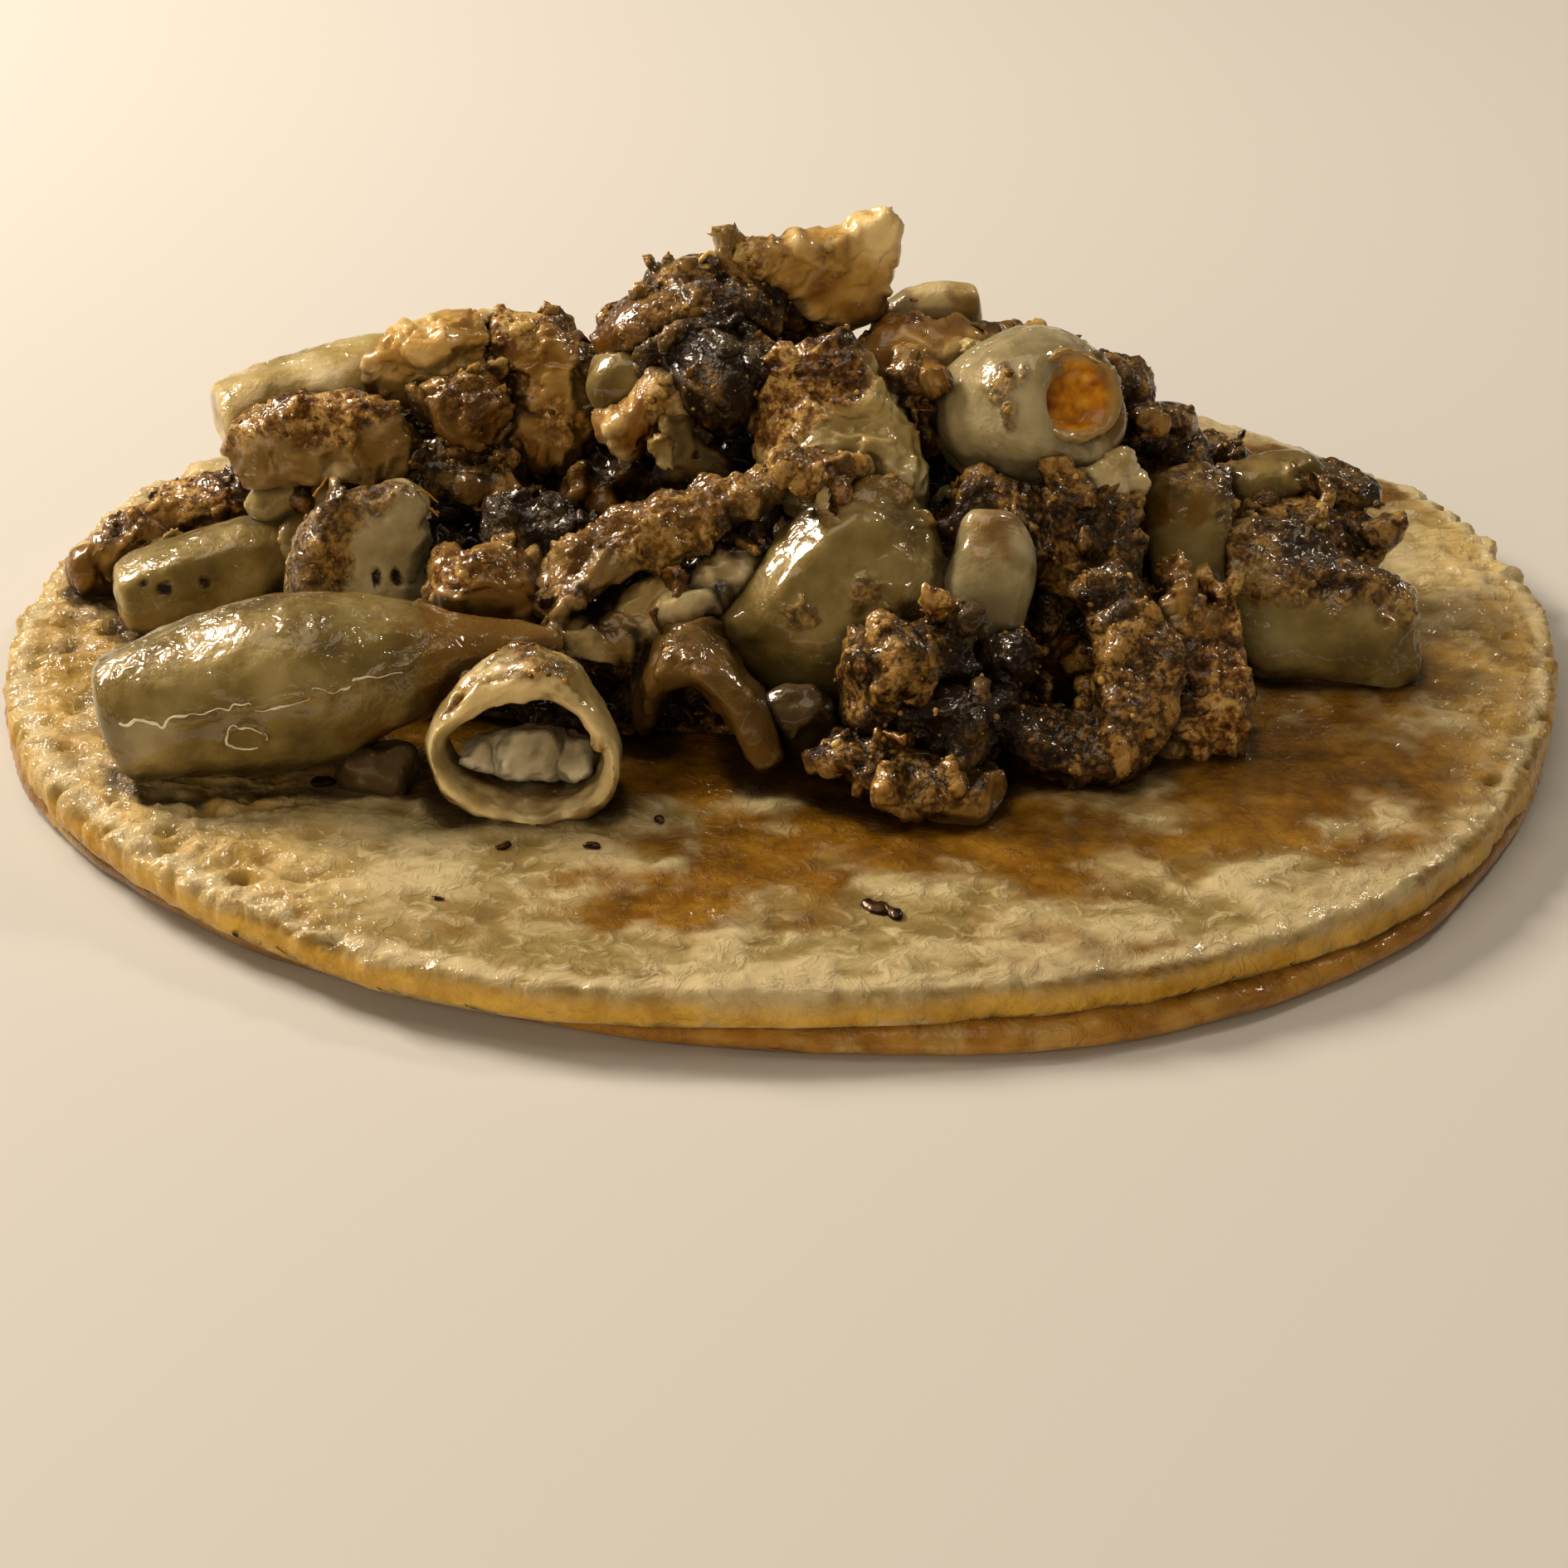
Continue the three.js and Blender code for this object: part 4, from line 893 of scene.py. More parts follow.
TRIPE = {
    # front row
    "tube_long": ("skin", NONE, (-0.6, 1.7, 0, -0.1), NONE),
    "ring_front": ("pale", (-0.75, 0, 0, 1.0), (-0.4, 0, 0, -0.4), NONE),
    "ring_crumbs": ("fat", NONE, NONE, NONE),
    "fat_bit": ("jelly", NONE, (-0.5,), NONE),
    "arch_front": ("grey", (-0.6, -0.4, 0, 0.5), (0.3, 0, 0, 0.3), NONE),
    "jelly_bit": ("jelly", (-1.2,), (-0.8,), NONE),
    "lobe_centre": ("skin", (-1.25, 0.3, 0, 0.5), (-0.9, 0, 0, 0.75), (-1.7, 0.8, 0, -0.7)),
    "crust_front_strip": ("crust", (0.4, 0, 0, 0.6), (-0.8, 0, 0, -0.6), (-1.2, 0.4, 0, 0.4)),
    "crust_front_knob": ("crust", ALL, (-0.9,), (0.3, 0, 0, 0.3)),
    "crust_front_chunk": ("crust", ALL, (-0.9,), (0.0, 0.4, 0, 0.3)),
    "curl_dark": ("crust", ALL, (-0.8, 0.4, 0, -0.4), (-0.2, -0.6, 0, 0.2)),
    "fin_right": ("toast", (0.4, 0, 0, -0.3), (-0.5, 0, 0, 0.9), (-0.6, 0, 0, -0.3)),
    "lobe_small": ("ashen", (-1.2, -0.4, 0, 0.6), (-0.7, 0, 0, 0.6), NONE),
    # left side
    "chunk_pitted": ("ashen", (-0.3, -1.2, 0, 0.8), (-0.6, -0.7, 0, 0.5), (-1.6,)),
    "block_left": ("skin", (-1.1, -0.2, 0, 0.5), (-0.9, -0.4, 0, 0), NONE),
    "knob_cluster": ("skin", (-1.2, 0, 0, 0.2), (-0.4,), NONE),
    "strip_left": ("toast", (0.1, 0, 0, 1.2), (-0.4, -0.5, 0, -0.5), (-1.0, 0.4, 0, 0.5)),
    "fold_left": ("pale", (-0.1, -0.5, 0, 1.3), (0.1, 0, 0, -0.3), (-1.2, -0.7, 0, 0.2)),
    "tube_cut_left": ("pale", (-1.0, 0.9, 0, 0.2), (-1.1, -0.7, 0, -0.3), NONE),
    # top left
    "fold_top_left": ("toast", (-0.1, -0.3, 0, 0.3), (-0.7, 0.9, 0, 0.4), (-1.3, 0, 0, -1.0)),
    "crust_left_knob": ("toast", (0.0, 0, 0, 0.5), (0.3, 0.2, 0, -0.3), (-0.7, 0, 0, -0.6)),
    "crust_left_top": ("gold", (-0.5, 0.8, 0, -0.8), (-1.1, 0, 0, -0.5), (-1.1, -0.9, 0, -0.4)),
    "scrap_left": ("crust", ALL, (-0.9,), (-0.1, 0, 0, -0.4)),
    # top middle
    "peak_flap": ("gold", (-0.35, -0.9, 0, 0.2), (-0.6, 0.4, 0, -0.2), (-1.4, -0.3, 0, 0.2)),
    "slab_top": ("crust", (0.3, -0.1, 0, 0.6), (0.2, -0.6, 0, -0.7), (-0.3, -0.1, 0, 0.2)),
    "wedge_centre": ("pale", (-0.5, -0.7, 0, 1.0), (-1.2, 0.3, 0, 0.3), (-1.5, -0.2, 0, 0.5)),
    "shred_centre": ("toast", (0.3,), (0.0, 0, 0, 0.4), (-0.9, 0, 0, -0.5)),
    "crumb_orange": ("toast", (0.3,), (0.1,), (-0.8, -0.4, 0, -0.4)),
    "char_lump": ("crust", ALL, (-1.0, -0.4, 0, 0), (0.3, 0.2, 0, 0.4)),
    "olive_lobe": ("skin", (-0.9,), (-0.6,), (-1.3, 0.3, 0, -0.3)),
    "orange_knob": ("gold", (-0.2,), (-0.1, -0.4, 0, 0), (-1.0, 0, 0, -0.5)),
    "grey_flap": ("grey", (-0.7, 0, 0, -0.3), NONE, (0.0, 0, 0, -0.8)),
    # middle
    "curl_long": ("pale", (0.2, 0, 0, 1.0), (0.2, -0.3, 0, 0.4), (-0.2, 0.3, 0.2, -0.5)),
    "scrap_amber": ("toast", (0.0,), (0.0, 0, 0, -0.2), (-0.9, 0, 0, 0.3)),
    "scrap_brown": ("crust", ALL, (-0.9,), (0.5,)),
    # right side
    "tube_right": ("ashen", (-1.1, 0.9, 0, 0.3), (-0.8, 1.0, 0, 0.2), NONE),
    "rim_rag": ("pale", (-0.5,), (-0.6,), NONE),
    "crust_sheet": ("crust", ALL, (-0.8, -0.3, 0, 0), (-0.7, 0.2, 0, 0.2)),
    "block_right": ("skin", (-0.6, 0.3, 0, 1.0), (-0.4, -0.3, 0, 0.5), (-1.3, 0, 0, 0.3)),
    "slab_right": ("skin", (0.2, 0, 0, 1.4), (-0.8, 0, 0, -0.3), (-0.9, 0.2, 0, 0.9)),
    "roll_right": ("grey", (0.0, 0.4, 0, 0), (-0.9,), (-0.7, 1.2, 0, 0.3)),
    "roll_under": ("crust", ALL, (-0.9,), (-0.5,)),
    "crumb_dark": ("crust", ALL, NONE, (0.0,)),
    "knobs_right": ("crust", (0.4,), (-0.5,), (-0.8,)),
    # back of the top
    "sliver_back": ("pale", (-1.0,), (-0.3, 0, 0, 0.2), NONE),
    "knob_back": ("gold", (-0.4, 0.2, 0, 0), (-0.1, -0.4, 0, 0.2), (-1.2, 0, 0, -0.4)),
    "ridge_back": ("crust", (0.3,), (-0.5, -0.4, 0, 0), (-0.9, 0.5, 0, 0)),
    # far side
    "tube_far_left": ("skin", (-1.2, 0.5, 0, 0.3), (-0.7, 1.0, 0, 0), NONE),
    "crust_far_left": ("crust", (0.5, 0, 0, 0.6), (-0.5,), (-0.9, 0, 0, 0.3)),
    "lobe_far": ("skin", (-1.1, 0, 0, 0.6), (-0.8, 0, 0, 0.6), NONE),
    "crust_far": ("crust", (0.6,), (-0.5, 0.4, 0, 0), (-0.9,)),
    "chunk_far": ("crust", (0.4, -0.4, 0, 0), (-0.5,), (-0.8, 0, 0, -0.3)),
    "tube_far_right": ("skin", (-1.2, 0, 0, 0.4), (-0.8, -0.8, 0, 0), NONE),
    "crust_far_right": ("crust", (0.6, 0, 0, 0.3), (-0.5,), (-0.8, 0.3, 0, 0)),
}

# Slot names for three kinds of tripe, passed to finish; the rest are tripe_skin.
TRIPE_SLOTS = {"crust": "tripe_crust", "toast": "tripe_crust", "fat": "tripe_fat"}

ANGULAR = {"ring_crumbs", "fat_bit", "jelly_bit"}  # broken, so their edges stay
# As smooth as the skin of the tubes.
SLEEK = {"tube_cut_left", "ring_front", "sliver_back", "tube_right", "lobe_small"}
BARE = {"fin_right", "shred_centre"}  # too thin for knobs of crust
CUT = {"ring_front", "arch_front"}  # with a pale cut that faces the front

# Spots on the skin: x, y, z, radius and depth, in millimetres. Those with a depth are burnt pits; the
# raised ones are scabs of crust.
SPOTS = [
    (-51.0, -5.9, 10.7, 0.35, 0.1),
    (-49.4, -6.0, 10.3, 0.75, 0.3),
    (-46.1, -5.3, 10.8, 0.5, 0.2),
    (-31.6, -14.4, 15.3, 0.7, 0.5),
    (-29.8, -13.8, 15.2, 0.8, 0.6),
    (1.4, -23.4, 16.0, 1.5, -0.25),
    (6.2, -22.6, 17.0, 1.5, -0.4),
    (7.4, -23.6, 15.0, 1.6, -0.5),
    (10.9, -20.6, 14.9, 1.2, -0.4),
    (8.1, -16.0, 23.1, 1.3, -0.3),
    (10.6, -16.6, 21.4, 1.0, -0.3),
    (18.0, -9.6, 29.6, 0.6, -0.3),
    (-40.0, -10.4, 23.6, 1.2, -0.3),
    (16.6, -9.6, 29.0, 1.5, -0.3),
    (17.6, -10.4, 27.0, 1.2, -0.25),
]


def blister(y, turn, steps):
    """Places round the small blister on the long tube, in millimetres."""
    return [(-38.9 + 1.5 * math.cos(a), y, 10.8 + 1.2 * math.sin(a)) for a in np.linspace(0, turn, steps)]


# Lines where the skin is wrinkled and wet: piece, half width, depth, and points, in millimetres.
SEAMS = [
    ("tube_long", 0.3, 0.3, [(-47.4, -32, 11.7), (-45, -32.6, 11.6), (-44, -32.7, 11.9), (-41.5, -32.9, 12.8),
                             (-36.6, -33.1, 13.6), (-31.9, -32.4, 14.5), (-27.3, -30.3, 15.4)]),
    ("tube_long", 0.2, 0.22, blister(-33.2, math.tau, 13)),
    ("tube_long", 1.3, 0.1, [(-48.4, -30.4, 14), (-46, -29, 15.6), (-42, -27.4, 17.3), (-38, -26.6, 18.4),
                             (-34, -26.4, 18.4), (-29, -26.6, 16.8)]),
    ("tube_long", 1.6, 0.3, [(-33, -31.6, 15.6), (-29, -30.2, 15.8), (-24, -28.4, 15.4)]),
    ("tube_right", 0.8, 0.2, [(15.6, -10.6, 24.2), (16.6, -10.9, 23)]),
    ("tube_cut_left", 1.4, 0.2, [(-43.0, 8.4, 23.6), (-40.8, 7.3, 24.4), (-38.8, 7.9, 24.9), (-36.7, 7.7, 25.3)]),
    ("lobe_centre", 1.0, 0.15, [(-1, -18.6, 21), (2.4, -16.8, 23.4), (6, -15.4, 24.6)]),
    ("lobe_centre", 1.9, 0.32, [(10.4, -20.4, 19.6), (10.6, -20.8, 17.4), (9.4, -22.4, 15.4)]),
    ("wedge_centre", 0.9, 0.15, [(-1.2, -11, 26.4), (-1.4, -12, 24.4)]),
]

# Single fibres and lines of fat: thickness at the root and points, in millimetres.
# The lines of fat are coloured near white: a painted glint along the wrinkles of the long tube.
WISPS = [
    ("gold", 0.7, [(-7.6, 3.4, 32.6), (-6.9, 3.4, 33.8), (-6.3, 3.4, 34.8), (-5.8, 3.4, 35.3), (-5.3, 3.3, 34.9)]),
    ("gold", 0.3, [(-29.6, -11.2, 20.2), (-28.4, -11, 21), (-27.4, -11, 20.9), (-26.6, -11.2, 20)]),
    ("gold", 0.3, [(-30, -11, 20.6), (-28.6, -11, 20.6), (-27.4, -11.4, 19.8), (-26.6, -11.6, 19)]),
    ("gold", 0.35, [(-36, -11.4, 20.6), (-35.4, -11.2, 21.4), (-35, -11, 22)]),
    ("gold", 0.4, [(-28.8, -10.4, 19.2), (-27.6, -10.4, 19.4), (-26.6, -10.6, 18.8)]),
    ("fat", 0.3, [(-47.6, -31.6, 11.6), (-46, -32.3, 11.7), (-44.6, -32.7, 11.8), (-43.6, -32.9, 12.4),
                  (-41.4, -33.2, 12.8), (-39.8, -33.3, 13.1), (-37.2, -33.3, 13.4), (-35.6, -33.3, 13.7),
                  (-32.6, -32.8, 14.5), (-29.9, -31.9, 14.9), (-27.6, -30.8, 15.3)]),
    ("fat", 0.22, blister(-33.4, 5.6, 12)),
]

# The four shades of each crust, from its cracks to its tops.
BROWN = ("#170e04", "#432d10", "#745525", "#b08f50")
DARK = ("#0c0602", "#2e1c08", "#5e4116", "#ab8442")
TOAST = ("#1e1003", "#52320c", "#8e6124", "#d8b268")

# For each kind of tripe: its material, three shades of skin, rim, crust, soaked, roughness and gloss.
FINISHES = {
    "skin": ("boiled_tripe_skin", ("#5c4d26", "#7f6d3a", "#a29260"), "#c0ac70", BROWN, "#6c4a0e", 0.38, 0.9),
    "ashen": ("pale_grey_tripe_skin", ("#7c7050", "#a1946c", "#c4b994"), "#d2c294", BROWN, "#70500f", 0.38, 0.85),
    "jelly": ("cartilage_jelly", ("#2c2218", "#42341f", "#5e4e34"), "#7a6844", DARK, "#48300e", 0.3, 0.6),
    "grey": ("grey_tripe_skin", ("#40341c", "#62512a", "#857340"), "#a58c50", DARK, "#583c0c", 0.4, 0.7),
    "pale": ("pale_tripe_skin", ("#86713f", "#b29c62", "#dccba0"), "#ecd8a0", TOAST, "#75541a", 0.4, 0.7),
    "gold": ("golden_tripe_skin", ("#8a5e22", "#c2984a", "#efd698"), "#f6e2aa", TOAST, "#7a4e12", 0.4, 0.7),
    "crust": ("fried_tripe_crust", ("#48330f", "#67491b", "#8a6b34"), "#b88c48", DARK, "#5e3a08", 0.4, 0.6),
    "toast": ("toasted_tripe", ("#644010", "#8c6422", "#b88f48"), "#e2bf76", TOAST, "#674612", 0.4, 0.7),
    "fat": ("rendered_beef_fat", ("#8a7c5e", "#bab092", "#e6dfc8"), "#e6dfc6", BROWN, "#8e6826", 0.35, 0.3),
}


def cover(points, centre, half, seed, amount, *towards):
    """A field that covers part of a piece and grows in one direction, with a ragged edge."""
    lean = ((points - centre) / half) @ np.array(towards or (0, 0, 0), dtype=float)
    ragged = 0.75 * rough(points, 5 * MM, seed) + 0.45 * rough(points, 1.4 * MM, seed + 7)
    return smooth(-0.22, 0.22, amount + lean + ragged)


def crust_relief(points, settings, seed):
    """Height of the crust, from about -1 to 1: clumps, lumps, beads and pits."""
    bent = points + 0.5 * MM * drift(points, 1.6 * MM, seed)
    clumps = rough(points, settings.clump_size * 1.6, seed + 3, 5)
    beads = 2 * grains(bent, settings.grain_size, seed + 7) - 1
    clusters = smooth(-0.3, 0.3, rough(points, 3 * MM, seed + 9))
    pits = smooth(0.25, 0.5, rough(bent, 2.4 * MM, seed + 11))
    return 1.1 * clumps + (0.03 + 0.07 * clusters) * beads - 0.5 * pits


def from_line(points, line):
    """How far each point is from a line through a few places."""
    nearest = np.full(len(points), np.inf)
    for start, end in zip(line, line[1:]):
        start, end = np.array(start) * MM, np.array(end) * MM
        along = np.clip((points - start) @ (end - start) / ((end - start) @ (end - start)), 0, 1)
        aside = points - start - along[:, None] * (end - start)
        nearest = np.minimum(nearest, np.linalg.norm(aside, axis=1))
    return nearest


KNOB_SQUASH = (1.2, 0.9, 0.5)


def fried_knobs(piece, crust, seed, settings):
    """Knobs of crust on the fried part of a piece, one to every few square millimetres."""
    random = np.random.default_rng(seed)
    corners = points_of(piece)
    low, high = corners.min(axis=0), corners.max(axis=0)
    quads = corners[np.array([p.vertices[:] for p in piece.data.polygons])]
    turns = np.cross(quads[:, 2] - quads[:, 0], quads[:, 3] - quads[:, 1])
    area = np.linalg.norm(turns, axis=1) / 2
    picked = random.choice(len(area), int(area.sum() / settings.knob_spacing**2), p=area / area.sum())
    a, b = random.uniform(size=(2, len(picked), 1))
    quads = quads[picked]
    near_side = (1 - b) * quads[:, 0] + b * quads[:, 1]
    far_side = (1 - b) * quads[:, 3] + b * quads[:, 2]
    places = (1 - a) * near_side + a * far_side
    sizes = settings.knob_size * random.gamma(3.0, 1 / 3, len(picked)).clip(0.45, 2.2)
    places = places - turns[picked] / (2 * area[picked][:, None]) * (0.15 * sizes[:, None])
    crusted = cover(places, (low + high) / 2, (high - low) / 2, seed, *crust)
    fried = (crusted * rough(places, 4 * MM, seed + 50) > -0.12) & (crusted > 0.5)
    if not fried.any():
        return None
    ball = template_of(bpy.ops.mesh.primitive_ico_sphere_add, subdivisions=3, radius=0.5)
    return cluster("knobs", places[fried], sizes[fried], ball, KNOB_SQUASH, 0.8, random, 0.1)


def dress_tripe(name, kind, crust, amber, char, settings, materials, seed):
    piece = copy_of(name, name + "_tripe")
    soft = kind in ("skin", "ashen", "grey", "jelly", "pale", "fat")
    sharp = 0.4 if name in ANGULAR else 0.95
    knobby = kind in ("crust", "toast") and name not in BARE
    knobs = (lambda rounded: fried_knobs(rounded, crust, seed, settings)) if knobby else None
    refine(piece, settings.voxel, rounds=3 if soft else 2, sharp=sharp, knobs=knobs)
    points, normals = points_of(piece), normals_of(piece)
    low, high = points.min(axis=0), points.max(axis=0)
    centre, half = (low + high) / 2, (high - low) / 2
    edge = ridges(piece, points, normals, 40, 0.12 * MM, 0.4 * MM)
    fields = enumerate((crust, amber, char))
    browned, oily, burnt = (cover(points, centre, half, seed + 31 * i, *field) for i, field in fields)
    few = 0.1 if kind == "gold" else 0.25 if name == "ring_front" else 0.5
    freckles = smooth(few, few + 0.25, rough(points, 1.6 * MM, seed + 41))
    freckles = freckles * smooth(0, 0.4, rough(points, 7 * MM, seed + 43))
    browned = np.maximum(browned, 0.8 * freckles)
    wet = smooth(0.15, 0.4, rough(points, 5 * MM, seed + 17) + 0.35 * rough(points, 1.5 * MM, seed + 18))
    scabs = np.zeros(len(points))
    for x, y, z, radius, depth in SPOTS:
        away = np.linalg.norm(points / MM - (x, y, z), axis=1)
        dent = smooth(1.0, 0.6, away / radius * (1 + 0.5 * waves(points, 0.7 * MM, seed)))
        points = points - normals * (dent * depth * MM)[:, None]
        burnt = np.maximum(burnt, 1.2 * dent * (depth > 0))
        browned = np.maximum(browned, 0.8 * dent * (depth < 0))
        scabs = np.maximum(scabs, dent * (depth < 0))
    for owner, width, depth, line in SEAMS:
        if owner == name:
            away = from_line(points + 0.4 * MM * drift(points, 2 * MM, 805), line) / (width * MM)
            wet = np.maximum(wet, np.exp(-0.3 * away**2))
            crinkle = rough(points, 1.3 * MM, 807) + (width < 0.5)
            points = points + normals * (depth * MM * crinkle * np.exp(-(away**2)))[:, None]
    grit = crust_relief(points, settings, seed)
    bent = points + 0.8 * MM * drift(points, 3 * MM, seed + 16)
    folds = 1 - 3 * np.abs(rough(bent * (1, 1, 1.5), 5 * MM, seed + 13))
    creases = rough(bent, 1.4 * MM, seed + 15)
    rags = rough(points + 0.6 * MM * drift(points, 1.6 * MM, seed + 20), 1.5 * MM, seed + 19)
    relief = browned * settings.clump_height * grit * (1 - 0.7 * scabs) + 0.15 * MM * scabs
    plain = kind == "skin" or name in SLEEK
    fold, crease = (0.07, 0.03) if plain else (0.24, 0.13) if kind in ("gold", "pale") else (0.16, 0.08)
    crease = 0.12 if name == "ring_front" else crease
    relief += (1 - browned) * (fold * folds + ((0.15 if plain else 0.22) * wet + crease) * creases) * MM
    if kind in ("gold", "pale", "toast") and not plain:  # the edges of torn, peeling layers
        sheets = (rough(bent, size * MM, seed + 30 + i) for i, size in enumerate((5, 3, 2)))
        layers = sum(smooth(-0.05, 0.05, sheet) for sheet in sheets)
        relief += 0.3 * MM * (layers - 1.5)
    if kind == "fat":
        relief += (0.4 * grit + 0.3 * rough(bent, 0.9 * MM, seed + 33)) * MM
    relief += edge * rags * (1.5 * MM * browned + (0.15 if plain else 0.9) * MM)
    relief += (-0.3 if name == "ring_front" else 0.3 if soft else 0.4) * MM
    push = 0.5 if plain else 1.0
    shift = drift(points, 6 * MM, 801) * push * MM + drift(points, 2.2 * MM, seed + 21) * push * 0.45 * MM
    shift += drift(points, 4 * MM, seed + 22) * 0.8 * MM * browned[:, None]
    move_points(piece, points + shift + normals * relief[:, None])
    cut = (name in CUT) * 0.8 * smooth(0.55, 0.9, -normals[:, 1])
    # Edges, and fold crests on the rougher kinds, are paler: partly the pale colour of torn rims, partly a painted
    # highlight where they catch the light.
    rim_and_highlight = (0.25 if name in ANGULAR else 0.85) * edge
    rim_and_highlight = np.maximum(rim_and_highlight, (not plain) * 0.2 * smooth(0.35, 0.9, folds))
    # On the crust, edges are lighter and show the rim colour: a painted highlight.
    mark(
        piece,
        crust=browned * (1 - 0.6 * edge * smooth(-0.1, 0.3, creases)),
        high=0.45 + 0.6 * grit + 0.4 * edge * browned + 0.15 * scabs,
        rim=cut + rim_and_highlight,
        amber=0.85 * oily * (1 - 0.45 * browned),
        char=np.maximum(burnt * smooth(0.9, 0.0, grit), 1.0 * (burnt > 1)),
        wet=np.maximum(wet, browned),
    )
    finish(piece, materials[kind], TRIPE_SLOTS.get(kind, "tripe_skin"), name)


MARROW_AXIS = Vector((0.36, -0.8, 0.48)).normalized()
MARROW_MIDDLE = Vector((21.9, -8.6, 27.6)) * MM
MARROW_SHAPE = (3.8 * MM, 4.2 * MM, 1.7 * MM, 1)


def dress_hollow():
    """The orange fat in the open end of the right-hand tube."""
    bpy.ops.object.select_all(action="DESELECT")
    bpy.ops.mesh.primitive_ico_sphere_add(subdivisions=5, radius=1)
    piece = bpy.context.active_object
    piece.name = "tube_right_marrow"
    seat = Matrix.Translation(MARROW_MIDDLE) @ MARROW_AXIS.to_track_quat("Z", "X").to_matrix().to_4x4()
    points = points_of(piece)
    across = np.hypot(points[:, 0], points[:, 1])
    cup = 0.9 * smooth(0.45, 0.9, across) * smooth(1.0, 0.9, across)
    points[:, 2] = np.where(points[:, 2] > 0, cup, points[:, 2]) - 0.35
    move_points(piece, points)
    piece.data.transform(seat @ Matrix.Diagonal(MARROW_SHAPE))
    points, normals = points_of(piece), normals_of(piece)
    dimples = rough(points, 2.4 * MM, 901)
    beads = rough(points, 0.9 * MM, 903)
    lip = smooth(0.62, 0.85, across)
    move_points(piece, points + normals * (0.5 * MM * dimples + 0.4 * MM * beads * (0.2 + lip))[:, None])
    # Painted shade in the dimples, and a pale lip.
    mark(piece, gap=smooth(-0.25, -0.6, dimples), rim=lip)
    finish(piece, marrow_material(), "tripe_fat")


def wrinkled_line(line, skin):
    """The same line laid on the skin with small bends, and a thickness that comes and goes."""
    along = np.insert(np.cumsum(np.linalg.norm(np.diff(line, axis=0), axis=1)), 0, 0)
    steps = np.arange(0, along[-1], 0.3 * MM)
    line = np.stack([np.interp(steps, along, line[:, i]) for i in range(3)], axis=1)
    line = line + 0.4 * MM * drift(line, 1.6 * MM, 920)
    seats = [skin.closest_point_on_mesh(Vector(place)) for place in line]
    line = np.array([place + normal * 0.05 * MM for _, place, normal, _ in seats])
    return line, 0.25 + 0.75 * smooth(-0.3, 0.35, rough(line, 1.8 * MM, 921))


def dress_wisps(materials):
    """Fine fibres and lines of fat on the pieces, each a bent tube that thins to its tip.

    The lines of fat are near white, a painted glint.
    """
    bpy.context.view_layer.update()
    skin = bpy.data.objects["tube_long_tripe"]
    for number, (kind, thick, line) in enumerate(WISPS, start=1):
        curve = bpy.data.curves.new("wisp", "CURVE")
        curve.dimensions = "3D"
        curve.bevel_depth = thick / 2 * MM
        curve.bevel_resolution = 2
        curve.use_fill_caps = True
        spline = curve.splines.new("NURBS")
        line = np.array(line) * MM
        radii = np.linspace(1, 0.45, len(line))
        if kind == "fat":
            line, radii = wrinkled_line(line, skin)
        spline.points.add(len(line) - 1)
        spline.points.foreach_set("co", np.insert(line, 3, 1, axis=1).ravel())
        spline.points.foreach_set("radius", radii)
        spline.use_endpoint_u = True
        spline.order_u = 3
        piece = bpy.data.objects.new(f"wisp_{number}", curve)
        bpy.context.collection.objects.link(piece)
        select_only(piece)
        bpy.ops.object.convert(target="MESH")
        piece = bpy.context.active_object
        points = points_of(piece)
        move_points(piece, points + 0.1 * MM * drift(points, 0.7 * MM, 910 + number))
        # The sprig and the lines of fat take the lightest shade; on the lines of fat it is a painted glint.
        mark(piece, shade=np.full(len(points), 0.9 if number == 1 or kind == "fat" else 0.3))
        finish(piece, materials[kind], "tripe_crust")


class TACO_OT_filling(bpy.types.Operator):
    """Dress every piece of tripe on the heap"""

    bl_idname = "taco.filling"
    bl_label = "Filling"

    def execute(self, context):
        settings = context.scene.taco_filling
        materials = {kind: tripe_material(*finish) for kind, finish in FINISHES.items()}
        for seed, (name, (kind, crust, amber, char)) in enumerate(TRIPE.items(), start=1):
            dress_tripe(name, kind, crust, amber, char, settings, materials, 100 * seed)
        dress_hollow()
        return {"FINISHED"}


# ---------------------------------------------------------------- the bed of scraps


def heap_tree():
    """All the CAD solids in one tree for rays, and the name of the solid of each face."""
    corners, faces, owners = [], [], []
    for name, solid in NODES.items():
        start = len(corners)
        corners += [tuple(v.co) for v in solid.data.vertices]
        faces += [[start + i for i in p.vertices] for p in solid.data.polygons]
        owners += [name] * len(solid.data.polygons)
    return BVHTree.FromPolygons(corners, faces), owners


BED_SPANS = ((-40, 37), (-24, 22), (6, 20))  # of x, y and z, in millimetres
LOOKS = ((0, 0, -1), (0, 0.8, -0.6), (0, -0.8, -0.6), (0.8, 0, -0.6), (-0.8, 0, -0.6))


def open_spots(count, random):
    """Places in the heap where a look between the pieces meets the bed or a tortilla."""
    tree, owners = heap_tree()
    looks = [Vector(look).normalized() for look in LOOKS]
    found = []
    for trial in range(count * 30):
        if len(found) == count:
            break
        aim = Vector([random.uniform(*span) * MM for span in BED_SPANS])
        look = looks[trial % len(looks)]
        place, _, index, _ = tree.ray_cast(aim - look * 0.1, look)
        if index is None:
            continue
        owner = owners[index]
        across, deep = (place.x + 3 * MM) / (38 * MM), (place.y + 1 * MM) / (23 * MM)
        under = owner == "tortilla_upper" and math.hypot(across, deep) < 0.95
        if owner == "heap_core" or (under and random.random() < 0.5):
            found.append(place)
    return found


LUMP_SHAPE = (1.25, 0.8, 0.55, 1)


